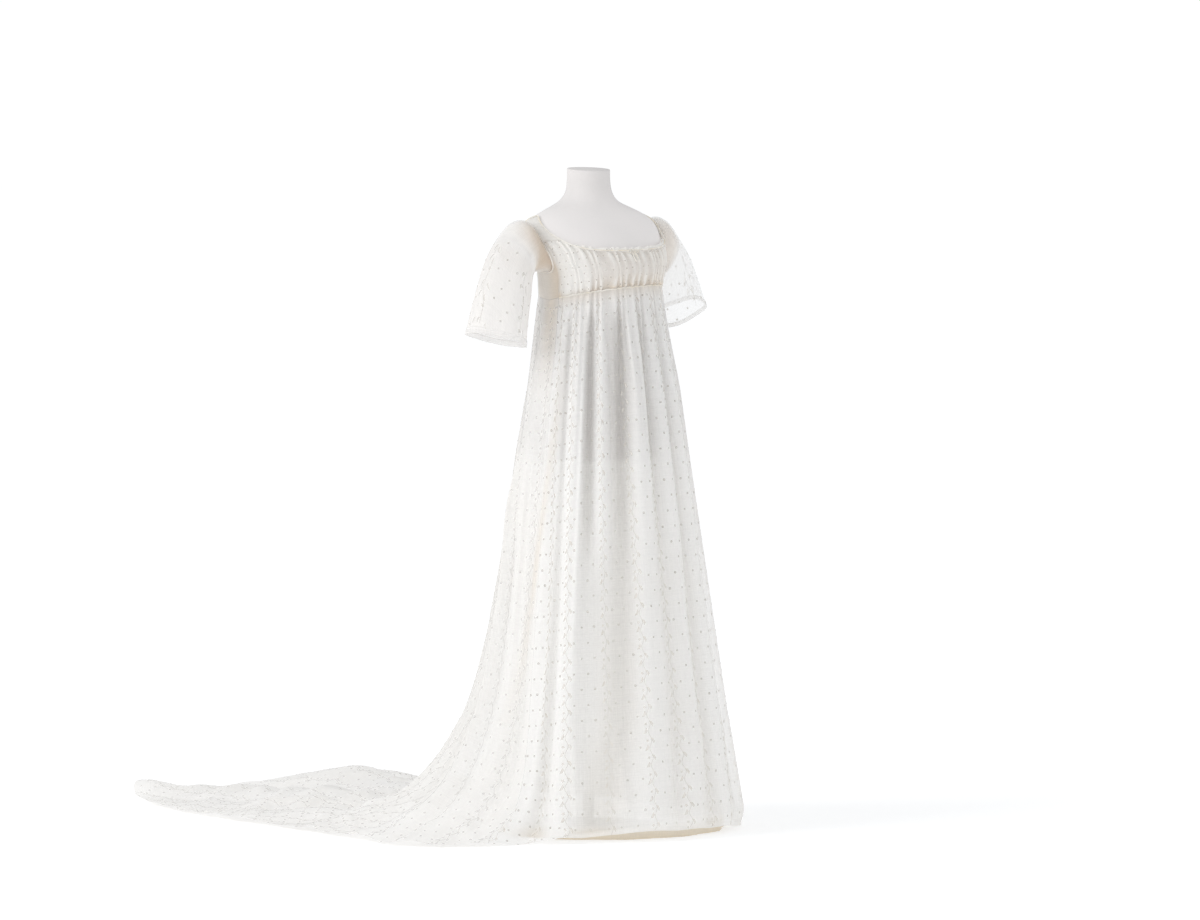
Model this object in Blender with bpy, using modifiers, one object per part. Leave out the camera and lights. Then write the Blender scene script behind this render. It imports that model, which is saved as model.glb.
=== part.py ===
"""A muslin gown of about 1805 with a train, worn by a limbless dress form on a stand.

Units are metres. The wearer faces -Y, the wearer's left side is +X, and Z is up. The origin is on
the floor, under the middle of the neck. An angle round the body is 0 at the centre front,
90 at the wearer's left, 180 at the centre back and -90 at the wearer's right.
"""

import math
from collections import namedtuple

import bmesh
import bpy
from mathutils import Vector

# Driving dimensions of the cloth
CLOTH = 0.0012  # wall of the bodice, sleeves and underskirt
SKIRT_CLOTH = 0.0015  # wall of the outer skirt
SEAM_GAP = 0.0005  # between two pieces that a seam joins
SEAM_ANGLE = 76.0  # side seams of the skirt and bodice
BACK_SEAM_ANGLE = 116.0  # seam between the side and the back of the bodice
STRAP_END_ANGLE = 112.5  # where a strap meets the back, at the armhole
STRAP_END_NECK = 124.0  # and at the neckline

# Heights of the waist seam, which rises over the bust and at the centre back
WAIST_HEIGHT = 1.178
WAIST_FRONT_RISE = 0.027
WAIST_BACK_RISE = 0.012
WAIST_LEAN = 0.005  # the wearer's left side sits this much higher

# How far each layer stands off the dress form at the waist seam
FRONT_STAND_OFF = 0.0080
SIDE_STAND_OFF = 0.0055
BODICE_EASE = 0.006  # the gathered front blouses out this much over the bust
SNUG = 0.0009  # a shoulder strap on the shoulder

# Gathers drawn up on the two drawstrings of the front
GATHERS = 22
GATHER_DEPTH = 0.0028
HEADING = 0.005  # frill of the front above its drawstring

# Armhole, an oval round the shoulder
ARMHOLE_Z = 1.280
ARMHOLE_UP = 0.050
ARMHOLE_DOWN = 0.048
ARMHOLE_ANGLE = 22.0
SLEEVE_IN_ARMHOLE = 0.965  # the sleeve starts just inside the bodice's edge

# Sleeves
SLEEVE_SHARES = [0.0, 0.06, 0.13, 0.22, 0.36, 0.55, 0.75]  # of its length, from the armhole
SLEEVE_STAND_OFF = 0.0044  # its first row, off the dress form
LINING_ROWS = 5  # of those, that the lining reaches
LINING_INSET = 0.0030
SLEEVE_LENGTH = 0.29
SLEEVE_SIDES = 22
SLEEVE_HEM_WIDTH = 0.010
SLEEVE_HEM = 0.0018  # wall of the turned hem
SLEEVE_FOLDS = 5
SLEEVE_FOLD_DEPTH = 0.003

# Underskirt hem, an oval on the floor
UNDERSKIRT_HALF_WIDTH = 0.270
UNDERSKIRT_HALF_DEPTH = 0.250
UNDERSKIRT_X = 0.028
UNDERSKIRT_Y = -0.032
UNDERSKIRT_FOLDS = 12
UNDERSKIRT_FOLD_DEPTH = 0.008

# Drawstrings
CORD_DIAMETER = 0.0026
BOW_CORD = 0.0020
BOW_KNOT = 0.0060
BOW_LOOP = 0.013
BOW_END = 0.026
BOW_SLOPE = 0.75  # the bow hangs forward over the blousing front

# Dress form and stand
FORM_SIDES = 36
FORM_NECK_TILT = 0.05  # slope of the neck's flat top, down to the front
PLATE_RADIUS = 0.150
PLATE_THICKNESS = 0.009
POLE_RADIUS = 0.0125
FLANGE_RADIUS = 0.050
FLANGE_THICKNESS = 0.010
SEAT_GAP = 0.0003

Section = namedtuple("Section", "z half_width half_depth centre_y")
FORM = [
    Section(0.820, 0.164, 0.112, -0.018),
    Section(0.900, 0.158, 0.109, -0.019),
    Section(0.970, 0.132, 0.099, -0.021),
    Section(1.030, 0.120, 0.093, -0.022),
    Section(1.110, 0.128, 0.100, -0.027),
    Section(1.180, 0.138, 0.106, -0.031),
    Section(1.235, 0.146, 0.113, -0.034),
    Section(1.270, 0.163, 0.110, -0.026),
    Section(1.300, 0.177, 0.101, -0.014),
    Section(1.318, 0.180, 0.091, -0.007),
    Section(1.332, 0.175, 0.083, -0.003),
    Section(1.345, 0.161, 0.076, 0.000),
    Section(1.356, 0.141, 0.070, 0.001),
    Section(1.366, 0.116, 0.065, 0.002),
    Section(1.382, 0.075, 0.057, 0.002),
    Section(1.400, 0.056, 0.050, 0.000),
    Section(1.425, 0.0485, 0.0475, 0.000),
    Section(1.454, 0.0475, 0.0475, 0.000),
]

# Height of the neckline on each side; on the wearer's left it sits lower at the front
Neck = namedtuple("Neck", "angle right left")
NECKLINE = [
    Neck(0, 1.277, 1.277),
    Neck(30, 1.281, 1.279),
    Neck(45, 1.290, 1.283),
    Neck(53, 1.302, 1.288),
    Neck(60, 1.317, 1.298),
    Neck(66, 1.330, 1.309),
    Neck(75, 1.343, 1.327),
    Neck(82, 1.350, 1.340),
    Neck(90, 1.354, 1.348),
    Neck(100, 1.351, 1.349),
    Neck(112, 1.341, 1.339),
    Neck(124, 1.326, 1.325),
    Neck(140, 1.314, 1.314),
    Neck(160, 1.307, 1.307),
    Neck(180, 1.305, 1.305),
]

# Where the front's top corners and the straps meet, on each side
Corner = namedtuple("Corner", "z angle")
CORNERS = {-1: Corner(1.3020, 53.0), 1: Corner(1.2965, 59.5)}

# Floor plan of the outer skirt: where it meets the floor, where its hem lies, how high
# the bend into the train starts, and how far the hem is off the floor
Hem = namedtuple("Hem", "angle foot_x foot_y hem_x hem_y bend lift")
HEM = [
    Hem(-180, -0.02, 0.255, -0.02, 1.215, 0.60, 0.000),
    Hem(-168, -0.08, 0.250, -0.31, 1.185, 0.60, 0.000),
    Hem(-152, -0.13, 0.215, -0.44, 0.840, 0.60, 0.000),
    Hem(-135, -0.18, 0.170, -0.485, 0.480, 0.58, 0.000),
    Hem(-118, -0.22, 0.120, -0.54, 0.175, 0.54, 0.000),
    Hem(-100, -0.26, 0.030, -0.575, -0.010, 0.44, 0.000),
    Hem(-80, -0.27, -0.080, -0.475, -0.125, 0.30, 0.000),
    Hem(-60, -0.26, -0.180, -0.310, -0.205, 0.15, 0.000),
    Hem(-45, -0.24, -0.235, -0.245, -0.240, 0.10, 0.008),
    Hem(-30, -0.17, -0.285, -0.172, -0.287, 0.08, 0.014),
    Hem(0, 0.00, -0.320, 0.00, -0.322, 0.08, 0.014),
    Hem(30, 0.167, -0.269, 0.168, -0.271, 0.08, 0.008),
    Hem(50, 0.255, -0.200, 0.257, -0.202, 0.08, 0.000),
    Hem(80, 0.33, -0.060, 0.340, -0.065, 0.20, 0.000),
    Hem(100, 0.34, 0.040, 0.385, 0.060, 0.30, 0.000),
    Hem(118, 0.31, 0.120, 0.400, 0.250, 0.38, 0.000),
    Hem(135, 0.25, 0.190, 0.385, 0.500, 0.48, 0.000),
    Hem(152, 0.16, 0.235, 0.340, 0.800, 0.55, 0.000),
    Hem(168, 0.06, 0.255, 0.240, 1.150, 0.60, 0.000),
    Hem(180, -0.02, 0.255, -0.02, 1.215, 0.60, 0.000),
]
BEND_RUN = 0.32  # most of the train's length that the bend takes
HANGING_FOOT = 0.25  # down to this height the cloth counts as hanging
HANGING_SHARE = 0.55
BEND_CROWDING = 1.35  # rows lie closer together where the cloth bends
SKIRT_SHARES = [0, 0.05, 0.12, 0.21, 0.32, 0.43, 0.55, 0.61, 0.67, 0.73, 0.79, 0.86, 0.93, 1]

# Folds of the outer skirt: angle at the waist and at the hem, half width at the hem in
# degrees, depth at the top and at the hem, and the shares of its length where it starts
# and ends
Fold = namedtuple("Fold", "top hem half_width depth_top depth_hem start end")
FOLDS = [
    Fold(-172, -171, 6.5, 0.010, 0.030, 0.02, 1.2),
    Fold(-160, -159, 7.0, 0.010, 0.024, 0.02, 1.2),
    Fold(-146, -146, 8.0, 0.008, 0.034, 0.05, 1.2),
    Fold(-130, -131, 8.5, 0.006, 0.026, 0.10, 1.2),
    Fold(-112, -114, 9.0, 0.005, 0.032, 0.15, 1.2),
    Fold(-95, -96, 9.0, 0.006, 0.026, 0.10, 1.2),
    Fold(-72, -77, 8.5, 0.010, 0.024, 0.02, 1.2),
    Fold(-53, -56, 9.5, 0.012, 0.032, 0.02, 1.2),
    Fold(-34, -36, 5.5, 0.012, 0.000, 0.02, 0.42),
    Fold(-9, -17, 9.5, 0.019, 0.028, 0.02, 1.2),
    Fold(13, 3, 7.0, 0.013, 0.024, 0.02, 1.2),
    Fold(33, 24, 8.5, 0.014, 0.024, 0.02, 1.2),
    Fold(52, 46, 8.5, 0.010, 0.026, 0.02, 1.2),
    Fold(70, 68, 9.0, 0.006, 0.022, 0.06, 1.2),
    Fold(92, 90, 9.0, 0.005, 0.022, 0.12, 1.2),
    Fold(111, 110, 9.0, 0.005, 0.026, 0.15, 1.2),
    Fold(128, 130, 8.5, 0.007, 0.026, 0.08, 1.2),
    Fold(144, 146, 8.0, 0.008, 0.030, 0.05, 1.2),
    Fold(158, 159, 7.0, 0.010, 0.024, 0.02, 1.2),
    Fold(170, 172, 6.0, 0.010, 0.030, 0.02, 1.2),
]
CRUMPLE = 0.010  # height of the cross wrinkles where the train lies
CRUMPLE_LENGTH = 0.16

# Centre of each sleeve's hem, its tilt in degrees, and the point that its middle line
# bends round. side is -1 for the wearer's right
Sleeve = namedtuple("Sleeve", "name side hem_x hem_z tilt bend_x bend_z")
SLEEVES = [
    Sleeve("right", -1, 0.272, 1.088, 16.0, 0.242, 1.290),
    Sleeve("left", 1, 0.264, 1.124, 26.0, 0.226, 1.262),
]
Girth = namedtuple("Girth", "share radius")
SLEEVE_GIRTH = [
    Girth(0.00, 0.050),
    Girth(0.16, 0.060),
    Girth(0.40, 0.057),
    Girth(0.70, 0.060),
    Girth(1.00, 0.067),
]

# Colours
IVORY = (0.86, 0.82, 0.74)
WHITE_MUSLIN = (0.90, 0.88, 0.84)
CREAM = (0.88, 0.78, 0.60)
FORM_GREY = (0.70, 0.67, 0.66)
STAND_WHITE = (0.85, 0.85, 0.84)


def clear_scene():
    for found in list(bpy.data.objects):
        bpy.data.objects.remove(found)


def material(name, colour, roughness, metallic=0.0):
    """A Principled material with one colour."""
    made = bpy.data.materials.new(name)
    made.use_nodes = True
    shader = made.node_tree.nodes["Principled BSDF"]
    shader.inputs["Base Color"].default_value = (*colour, 1.0)
    shader.inputs["Roughness"].default_value = roughness
    shader.inputs["Metallic"].default_value = metallic
    made.diffuse_color = (*colour, 1.0)
    return made


def lerp(a, b, share):
    return a + (b - a) * share


def smooth(x):
    x = min(1.0, max(0.0, x))
    return x * x * (3 - 2 * x)


def along(table, key, column, at):
    """A column of a table read between its rows by a smooth cubic through them."""
    keys = [getattr(row, key) for row in table]
    values = [getattr(row, column) for row in table]
    at = min(max(at, keys[0]), keys[-1])
    i = max(k for k in range(len(keys) - 1) if keys[k] <= at)

    def slope(k):
        low, high = max(k - 1, 0), min(k + 1, len(keys) - 1)
        return (values[high] - values[low]) / (keys[high] - keys[low])

    span = keys[i + 1] - keys[i]
    t = (at - keys[i]) / span
    return (
        (2 * t**3 - 3 * t**2 + 1) * values[i]
        + (t**3 - 2 * t**2 + t) * span * slope(i)
        + (3 * t**2 - 2 * t**3) * values[i + 1]
        + (t**3 - t**2) * span * slope(i + 1)
    )


def wrapped(angle):
    """The same angle from -180 to 180."""
    return (angle + 180.0) % 360.0 - 180.0


def front_share(angle):
    """1 at the centre front, falling to 0 at the side seams."""
    return max(0.0, math.cos(math.radians(angle)))


def form_surface(angle, z):
    a = math.radians(angle)
    return Vector(
        (
            along(FORM, "z", "half_width", z) * math.sin(a),
            along(FORM, "z", "centre_y", z)
            - along(FORM, "z", "half_depth", z) * math.cos(a),
            z,
        )
    )


def off_form(angle, z, distance):
    """A point that stands a distance off the dress form, along its normal."""
    step, rise = 0.5, 0.001
    around = form_surface(angle + step, z) - form_surface(angle - step, z)
    up = form_surface(angle, z + rise) - form_surface(angle, z - rise)
    return form_surface(angle, z) + around.cross(up).normalized() * distance


def neckline_z(angle):
    side = "left" if wrapped(angle) > 0 else "right"
    return along(NECKLINE, "angle", side, abs(wrapped(angle)))


def waist_z(angle):
    a = math.radians(angle)
    return (
        WAIST_HEIGHT
        + WAIST_FRONT_RISE * max(0.0, math.cos(a))
        + WAIST_BACK_RISE * max(0.0, -math.cos(a))
        + WAIST_LEAN * math.sin(a)
    )


def waist_stand_off(angle):
    return lerp(SIDE_STAND_OFF, FRONT_STAND_OFF, smooth(2.2 * front_share(angle)))


def seam_stand_off(angle, z):
    """How far the bodice's seams and plain panels stand off the dress form."""
    rise = smooth((z - waist_z(angle)) / 0.09)
    return lerp(waist_stand_off(angle), 0.0024, rise)


def gather_wave(angle):
    """Gathers of the front, from 0 in a trough to 1 on a crest, fading at the seams."""
    turns = GATHERS * (angle + SEAM_ANGLE) / (2 * SEAM_ANGLE)
    wave = 0.5 - 0.5 * math.cos(2 * math.pi * turns)
    return wave * smooth((SEAM_ANGLE - abs(angle)) / 8.0)


def link(made, collection, look):
    made.data.materials.append(look)
    collection.objects.link(made)
    return made


def new_mesh(name, bm):
    bmesh.ops.recalc_face_normals(bm, faces=bm.faces)
    mesh = bpy.data.meshes.new(name)
    bm.to_mesh(mesh)
    bm.free()
    mesh.shade_smooth()
    return mesh


def cloth(name, rows, collection, look, wall=CLOTH, around=False):
    """An open sheet through rows of points, thickened away from the body."""
    bm = bmesh.new()
    verts = [[bm.verts.new(point) for point in row] for row in rows]
    columns = len(rows[0])
    last = columns if around else columns - 1
    for low, high in zip(verts, verts[1:]):
        for i in range(last):
            j = (i + 1) % columns
            bm.faces.new((low[i], low[j], high[j], high[i]))
    mesh = bpy.data.meshes.new(name)
    bm.to_mesh(mesh)
    bm.free()
    mesh.shade_smooth()
    sheet = bpy.data.objects.new(name, mesh)
    solidify = sheet.modifiers.new("wall", "SOLIDIFY")
    solidify.thickness = wall
    solidify.offset = 1.0
    return link(sheet, collection, look)


def loft(name, rings, collection, look):
    """A closed solid through rings of points, with flat ends."""
    bm = bmesh.new()
    verts = [[bm.verts.new(point) for point in ring] for ring in rings]
    sides = len(rings[0])
    for low, high in zip(verts, verts[1:]):
        for i in range(sides):
            j = (i + 1) % sides
            bm.faces.new((low[i], low[j], high[j], high[i]))
    bm.faces.new(verts[0])
    bm.faces.new(verts[-1])
    return link(bpy.data.objects.new(name, new_mesh(name, bm)), collection, look)


def cord(name, points, diameter, collection, look, sides=4):
    """A tube along a line of points."""
    curve = bpy.data.curves.new(name, "CURVE")
    curve.dimensions = "3D"
    curve.bevel_depth = diameter / 2
    curve.bevel_resolution = sides // 2 - 2
    curve.use_fill_caps = True
    spline = curve.splines.new("POLY")
    spline.points.add(len(points) - 1)
    for knot, point in zip(spline.points, points):
        knot.co = (*point, 1.0)
    return link(bpy.data.objects.new(name, curve), collection, look)


def disc(name, radius, height, z, collection, look, sides=40):
    """A round plate or pole whose underside is at z."""
    bm = bmesh.new()
    bmesh.ops.create_cone(
        bm, cap_ends=True, segments=sides, radius1=radius, radius2=radius, depth=height
    )
    made = bpy.data.objects.new(name, new_mesh(name, bm))
    made.location = (0, 0, z + height / 2)
    return link(made, collection, look)


# Dress form and stand


def make_form(collection, look):
    rings = []
    neck_top = FORM[-1].z
    heights = [row.z for row in FORM]
    levels = [heights[0]]
    for low, high in zip(heights, heights[1:]):
        steps = 2 if high - low > 0.05 else 1
        levels += [lerp(low, high, (k + 1) / steps) for k in range(steps)]
    for z in levels:
        ring = []
        for i in range(FORM_SIDES):
            point = form_surface(360.0 * i / FORM_SIDES, z)
            if z == neck_top:
                point.z += FORM_NECK_TILT * point.y
            ring.append(point)
        rings.append(ring)
    return loft("dress_form", rings, collection, look)


def make_stand(collection, look):
    form_foot = FORM[0].z
    flange_z = form_foot - SEAT_GAP - FLANGE_THICKNESS
    pole_z = PLATE_THICKNESS + SEAT_GAP
    disc("stand_plate", PLATE_RADIUS, PLATE_THICKNESS, 0.0, collection, look)
    disc(
        "stand_pole",
        POLE_RADIUS,
        flange_z - SEAT_GAP - pole_z,
        pole_z,
        collection,
        look,
        20,
    )
    disc(
        "stand_flange", FLANGE_RADIUS, FLANGE_THICKNESS, flange_z, collection, look, 32
    )


# Bodice


def armhole_front(z):
    """Angle of the armhole's front edge at a height."""
    reach = ARMHOLE_UP if z > ARMHOLE_Z else ARMHOLE_DOWN
    share = min(1.0, abs(z - ARMHOLE_Z) / reach)
    return 90.0 - ARMHOLE_ANGLE * math.sqrt(1 - share * share)


def front_point(side_share, rise):
    """The gathered front: side_share runs from -1 to 1, rise from the waist to the top."""
    corner = CORNERS[1 if side_share > 0 else -1]
    low = waist_z(side_share * SEAM_ANGLE) + SEAM_GAP
    top_angle = side_share * armhole_front(corner.z)
    high = min(neckline_z(top_angle), corner.z)
    high += HEADING * smooth((corner.angle - 4.0 - abs(top_angle)) / 8.0)
    z = lerp(low, high, rise)
    angle = side_share * min(SEAM_ANGLE, armhole_front(z) - 0.5)
    puff = math.sin(math.pi * rise) ** 1.6
    near_side = smooth((1.0 - abs(side_share)) / 0.25)
    loose = waist_stand_off(side_share * SEAM_ANGLE) * (1 - 0.6 * rise)
    stand_off = lerp(seam_stand_off(angle, z), loose, near_side)
    stand_off += BODICE_EASE * puff * near_side
    drawn = 0.35 + 0.65 * abs(2 * rise - 1) ** 1.5
    stand_off += GATHER_DEPTH * drawn * gather_wave(side_share * SEAM_ANGLE)
    return off_form(angle, z, stand_off)


def make_bodice_front(collection, look, columns=66, rises=5):
    rows = [
        [front_point(2 * i / columns - 1, k / rises) for i in range(columns + 1)]
        for k in range(rises + 1)
    ]
    return cloth("bodice_front", pull_in(rows), collection, look)


def armhole_low(angle):
    share = min(1.0, abs(angle - 90.0) / ARMHOLE_ANGLE)
    return ARMHOLE_Z - ARMHOLE_DOWN * math.sqrt(1 - share * share) - 0.001


def armhole_high(angle):
    share = min(1.0, abs(angle - 90.0) / ARMHOLE_ANGLE)
    return ARMHOLE_Z + ARMHOLE_UP * math.sqrt(1 - share * share) + 0.001


def pull_in(rows):
    """Moves a panel's side edges in, so that a seam keeps its gap."""
    for row in rows:
        for edge, inner in ((0, 1), (-1, -2)):
            towards = (row[inner] - row[edge]).normalized()
            row[edge] = row[edge] + towards * SEAM_GAP / 2
    return rows


def turned(rows, side):
    """Rows of a panel on the wearer's left, or mirrored on the right, facing outward."""
    if side > 0:
        return rows
    flipped = [[Vector((-p.x, p.y, p.z)) for p in row] for row in rows]
    return [row[::-1] for row in flipped]


def make_bodice_side(side, name, collection, look, columns=9, rises=6):
    rows = []
    for k in range(rises + 1):
        rise = k / rises
        row = []
        for i in range(columns + 1):
            angle = lerp(SEAM_ANGLE, BACK_SEAM_ANGLE, i / columns)
            z = lerp(waist_z(side * angle) + SEAM_GAP, armhole_low(angle), rise)
            row.append(off_form(angle, z, seam_stand_off(angle, z)))
        rows.append(row)
    return cloth(name, turned(pull_in(rows), side), collection, look)


def back_top(angle, side):
    """Top of the back: under the strap's end, then along the neckline."""
    share = (angle - STRAP_END_ANGLE) / (STRAP_END_NECK - STRAP_END_ANGLE)
    neck = neckline_z(side * STRAP_END_NECK)
    strap_end = lerp(armhole_high(STRAP_END_ANGLE), neck, share)
    return min(neckline_z(side * angle), strap_end) - SEAM_GAP


def make_bodice_back(side, name, collection, look, columns=10, low_rises=6, rises=9):
    rows = []
    for k in range(rises + 1):
        row = []
        for i in range(columns + 1):
            share = i / columns
            low_angle = lerp(BACK_SEAM_ANGLE, 180.0, share)
            top_angle = lerp(STRAP_END_ANGLE, 180.0, share)
            low = waist_z(side * low_angle) + SEAM_GAP
            if k <= low_rises:
                z, lean = lerp(low, ARMHOLE_Z, k / low_rises), 0.0
            else:
                lean = (k - low_rises) / (rises - low_rises)
                z = lerp(ARMHOLE_Z, back_top(top_angle, side), lean)
            angle = lerp(low_angle, top_angle, lean)
            row.append(off_form(angle, z, seam_stand_off(angle, z)))
        rows.append(row)
    return cloth(name, turned(pull_in(rows), side), collection, look)


def strap_stand_off(along_strap):
    """A strap lies on the shoulder and lifts to meet the front and the back."""
    lifted = 1 - smooth(along_strap / 0.25) + smooth((along_strap - 0.75) / 0.25)
    return lerp(SNUG, 0.0024, lifted)


def make_strap(side, name, collection, look, columns=16, across=3):
    """From the front's corner over the shoulder to the back, neckline to armhole."""
    corner = CORNERS[side]
    rows = []
    for k in range(across + 1):
        share = k / across
        row = []
        for i in range(columns + 1):
            s = i / columns
            outer = lerp(armhole_front(corner.z), STRAP_END_ANGLE, s)
            inner = lerp(corner.angle, STRAP_END_NECK, s)
            angle = lerp(outer, inner, share)
            z = lerp(armhole_high(outer), neckline_z(side * inner), share)
            z = max(z, corner.z + 2 * SEAM_GAP)
            row.append(off_form(angle, z, strap_stand_off(s)))
        rows.append(row)
    return cloth(name, turned(rows, side), collection, look)


# Sleeves


def sleeve_point(sleeve, share, turn):
    """On the wearer's left: share from armhole to hem, turn round the sleeve in degrees."""
    psi = math.radians(turn)
    up = ARMHOLE_UP if math.cos(psi) > 0 else ARMHOLE_DOWN
    start = off_form(
        90.0 - ARMHOLE_ANGLE * math.sin(psi) * SLEEVE_IN_ARMHOLE,
        ARMHOLE_Z + up * math.cos(psi) * SLEEVE_IN_ARMHOLE,
        SLEEVE_STAND_OFF,
    )
    shoulder = Vector((0.177, -0.006, ARMHOLE_Z + 0.020))
    bend = Vector((sleeve.bend_x, -0.004, sleeve.bend_z))
    hem = Vector((sleeve.hem_x, 0.0, sleeve.hem_z))
    rest = 1 - share
    middle = shoulder * rest**2 + bend * 2 * share * rest + hem * share**2
    lean = math.radians(lerp(96.0, sleeve.tilt, smooth(share * 1.15) ** 0.8))
    outward = Vector((math.cos(lean), 0.0, math.sin(lean)))
    girth = along(SLEEVE_GIRTH, "share", "radius", share)
    girth += SLEEVE_FOLD_DEPTH * share * math.cos(SLEEVE_FOLDS * psi + sleeve.side)
    forward = Vector((0, -girth * math.sin(psi), 0))
    ring = middle + outward * girth * math.cos(psi) + forward
    return start.lerp(ring, smooth(share / 0.22))


def sleeve_inside(sleeve, share, turn, inset):
    """A point that lies an inset inside the sleeve, along its normal."""
    step = 0.02
    further = sleeve_point(sleeve, share + step, turn)
    down = further - sleeve_point(sleeve, max(0.0, share - step), turn)
    around = sleeve_point(sleeve, share, turn + 4) - sleeve_point(
        sleeve, share, turn - 4
    )
    return sleeve_point(sleeve, share, turn) + down.cross(around).normalized() * inset


def sleeve_rows(sleeve, shares, inset=0.0):
    turns = [360.0 * i / SLEEVE_SIDES for i in range(SLEEVE_SIDES)]
    rows = [
        [sleeve_inside(sleeve, share, turn, inset) for turn in turns]
        for share in shares
    ]
    if sleeve.side > 0:
        return rows
    mirrored = [[Vector((-p.x, p.y, p.z)) for p in ring] for ring in rows]
    return [ring[:1] + ring[:0:-1] for ring in mirrored]


def make_sleeve(sleeve, collection, looks):
    """The sheer sleeve, its turned hem, and the short lining under its head."""
    hem_start = 1.0 - SLEEVE_HEM_WIDTH / SLEEVE_LENGTH
    seam = SEAM_GAP / SLEEVE_LENGTH
    main = sleeve_rows(sleeve, SLEEVE_SHARES + [hem_start])
    hem = sleeve_rows(sleeve, [hem_start + seam, 1.0])
    lining = sleeve_rows(sleeve, SLEEVE_SHARES[:LINING_ROWS], LINING_INSET)
    name, muslin = sleeve.name, looks["muslin"]
    cloth(f"sleeve_{name}", main, collection, muslin, around=True)
    cloth(f"sleeve_hem_{name}", hem, collection, muslin, SLEEVE_HEM, around=True)
    cloth(f"sleeve_lining_{name}", lining, collection, looks["lining"], around=True)


# Skirts


def rib_points(angle):
    """The line that the outer skirt's base follows from the waist to its hem."""
    angle = wrapped(angle)
    waist = off_form(angle, waist_z(angle) - SEAM_GAP, waist_stand_off(angle))
    row = {c: along(HEM, "angle", c, angle) for c in Hem._fields[1:]}
    foot = Vector((row["foot_x"], row["foot_y"], max(0.0, row["lift"])))
    hem = Vector((row["hem_x"], row["hem_y"], max(0.0, row["lift"])))
    bend_top = foot + (waist - foot) * (row["bend"] / waist.z)
    lying = (hem - foot).length
    run = min(lying, BEND_RUN)
    bend_end = foot + (hem - foot) * (run / max(lying, 1e-6))
    line = [waist.lerp(bend_top, k / 24) for k in range(24)]
    for k in range(25):
        t = k / 24
        line.append(
            bend_top * (1 - t) ** 2 + foot * 2 * t * (1 - t) + bend_end * t * t
        )
    line += [bend_end.lerp(hem, (k + 1) / 8) for k in range(8) if lying > run + 1e-4]
    return line


def on_line(line, share):
    """A point by share: the upper share hangs, and the rest bends and lies."""
    lengths = [(b - a).length for a, b in zip(line, line[1:])]
    hanging = sum(
        length for length, point in zip(lengths, line) if point.z > HANGING_FOOT
    )
    lying = max(0.0, share - HANGING_SHARE) / (1 - HANGING_SHARE)
    left = hanging * min(1.0, share / HANGING_SHARE)
    left += (sum(lengths) - hanging) * lying**BEND_CROWDING
    for start, end, length in zip(line, line[1:], lengths):
        if left <= length and length > 0:
            return start.lerp(end, left / length)
        left -= length
    return line[-1].copy()


def fold_height(angle, share):
    """How far the folds lift the cloth off its base surface."""
    height = 0.0
    for fold in FOLDS:
        centre = lerp(fold.top, fold.hem, share)
        away = abs(wrapped(angle - centre))
        half = fold.half_width * lerp(0.75, 1.0, share)
        if away >= 1.6 * half:
            continue
        shape = math.cos(math.pi / 2 * away / (1.6 * half)) ** 2
        begins = smooth((share - fold.start) / 0.12)
        ends = 1 - smooth((share - fold.end + 0.15) / 0.15)
        depth = lerp(fold.depth_top, fold.depth_hem, share)
        height = max(height, shape * begins * ends * depth)
    return height


def skirt_point(angle, share, step=1.5):
    """The outer skirt, folds and gathers included."""
    line = rib_points(angle)
    here = on_line(line, share)
    around = on_line(rib_points(angle + step), share) - on_line(
        rib_points(angle - step), share
    )
    down = on_line(line, min(1.0, share + 0.01)) - on_line(
        line, max(0.0, share - 0.01)
    )
    outward = down.cross(around).normalized()
    level = off_form(angle, waist_z(angle), 1.0) - off_form(angle, waist_z(angle), 0.0)
    outward = level.lerp(outward, smooth(share / 0.05))
    lifted = fold_height(angle, share)
    lifted += GATHER_DEPTH * gather_wave(wrapped(angle)) * (1 - smooth(share / 0.11))
    lies = smooth((0.05 - here.z) / 0.05) * smooth(
        (share - 0.5) / 0.1
    )  # 1 where it rests on the floor
    if lies > 0:
        turns = here.y / CRUMPLE_LENGTH + angle / 72.0
        lifted += lies * CRUMPLE * max(0.0, math.sin(2 * math.pi * turns))
        lifted *= 1 - 0.65 * lies * smooth((share - 0.84) / 0.16)
    point = here + outward * lifted
    point.z = max(point.z, along(HEM, "angle", "lift", wrapped(angle)) * 0.5, 0.0)
    return point


def skirt_rows(first, last, columns):
    return [
        [skirt_point(lerp(first, last, i / columns), share) for i in range(columns + 1)]
        for share in SKIRT_SHARES
    ]


def make_skirt(collection, looks):
    """The front breadth, and the back breadths with the train, seamed at the sides."""
    rows = skirt_rows(-SEAM_ANGLE, SEAM_ANGLE, 66)
    cloth(
        "skirt_front",
        pull_in(rows)[::-1],
        collection,
        looks["muslin"],
        wall=SKIRT_CLOTH,
    )
    rows = skirt_rows(SEAM_ANGLE, 360.0 - SEAM_ANGLE, 52)
    cloth(
        "skirt_back",
        pull_in(rows)[::-1],
        collection,
        looks["muslin"],
        wall=SKIRT_CLOTH,
    )


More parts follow.
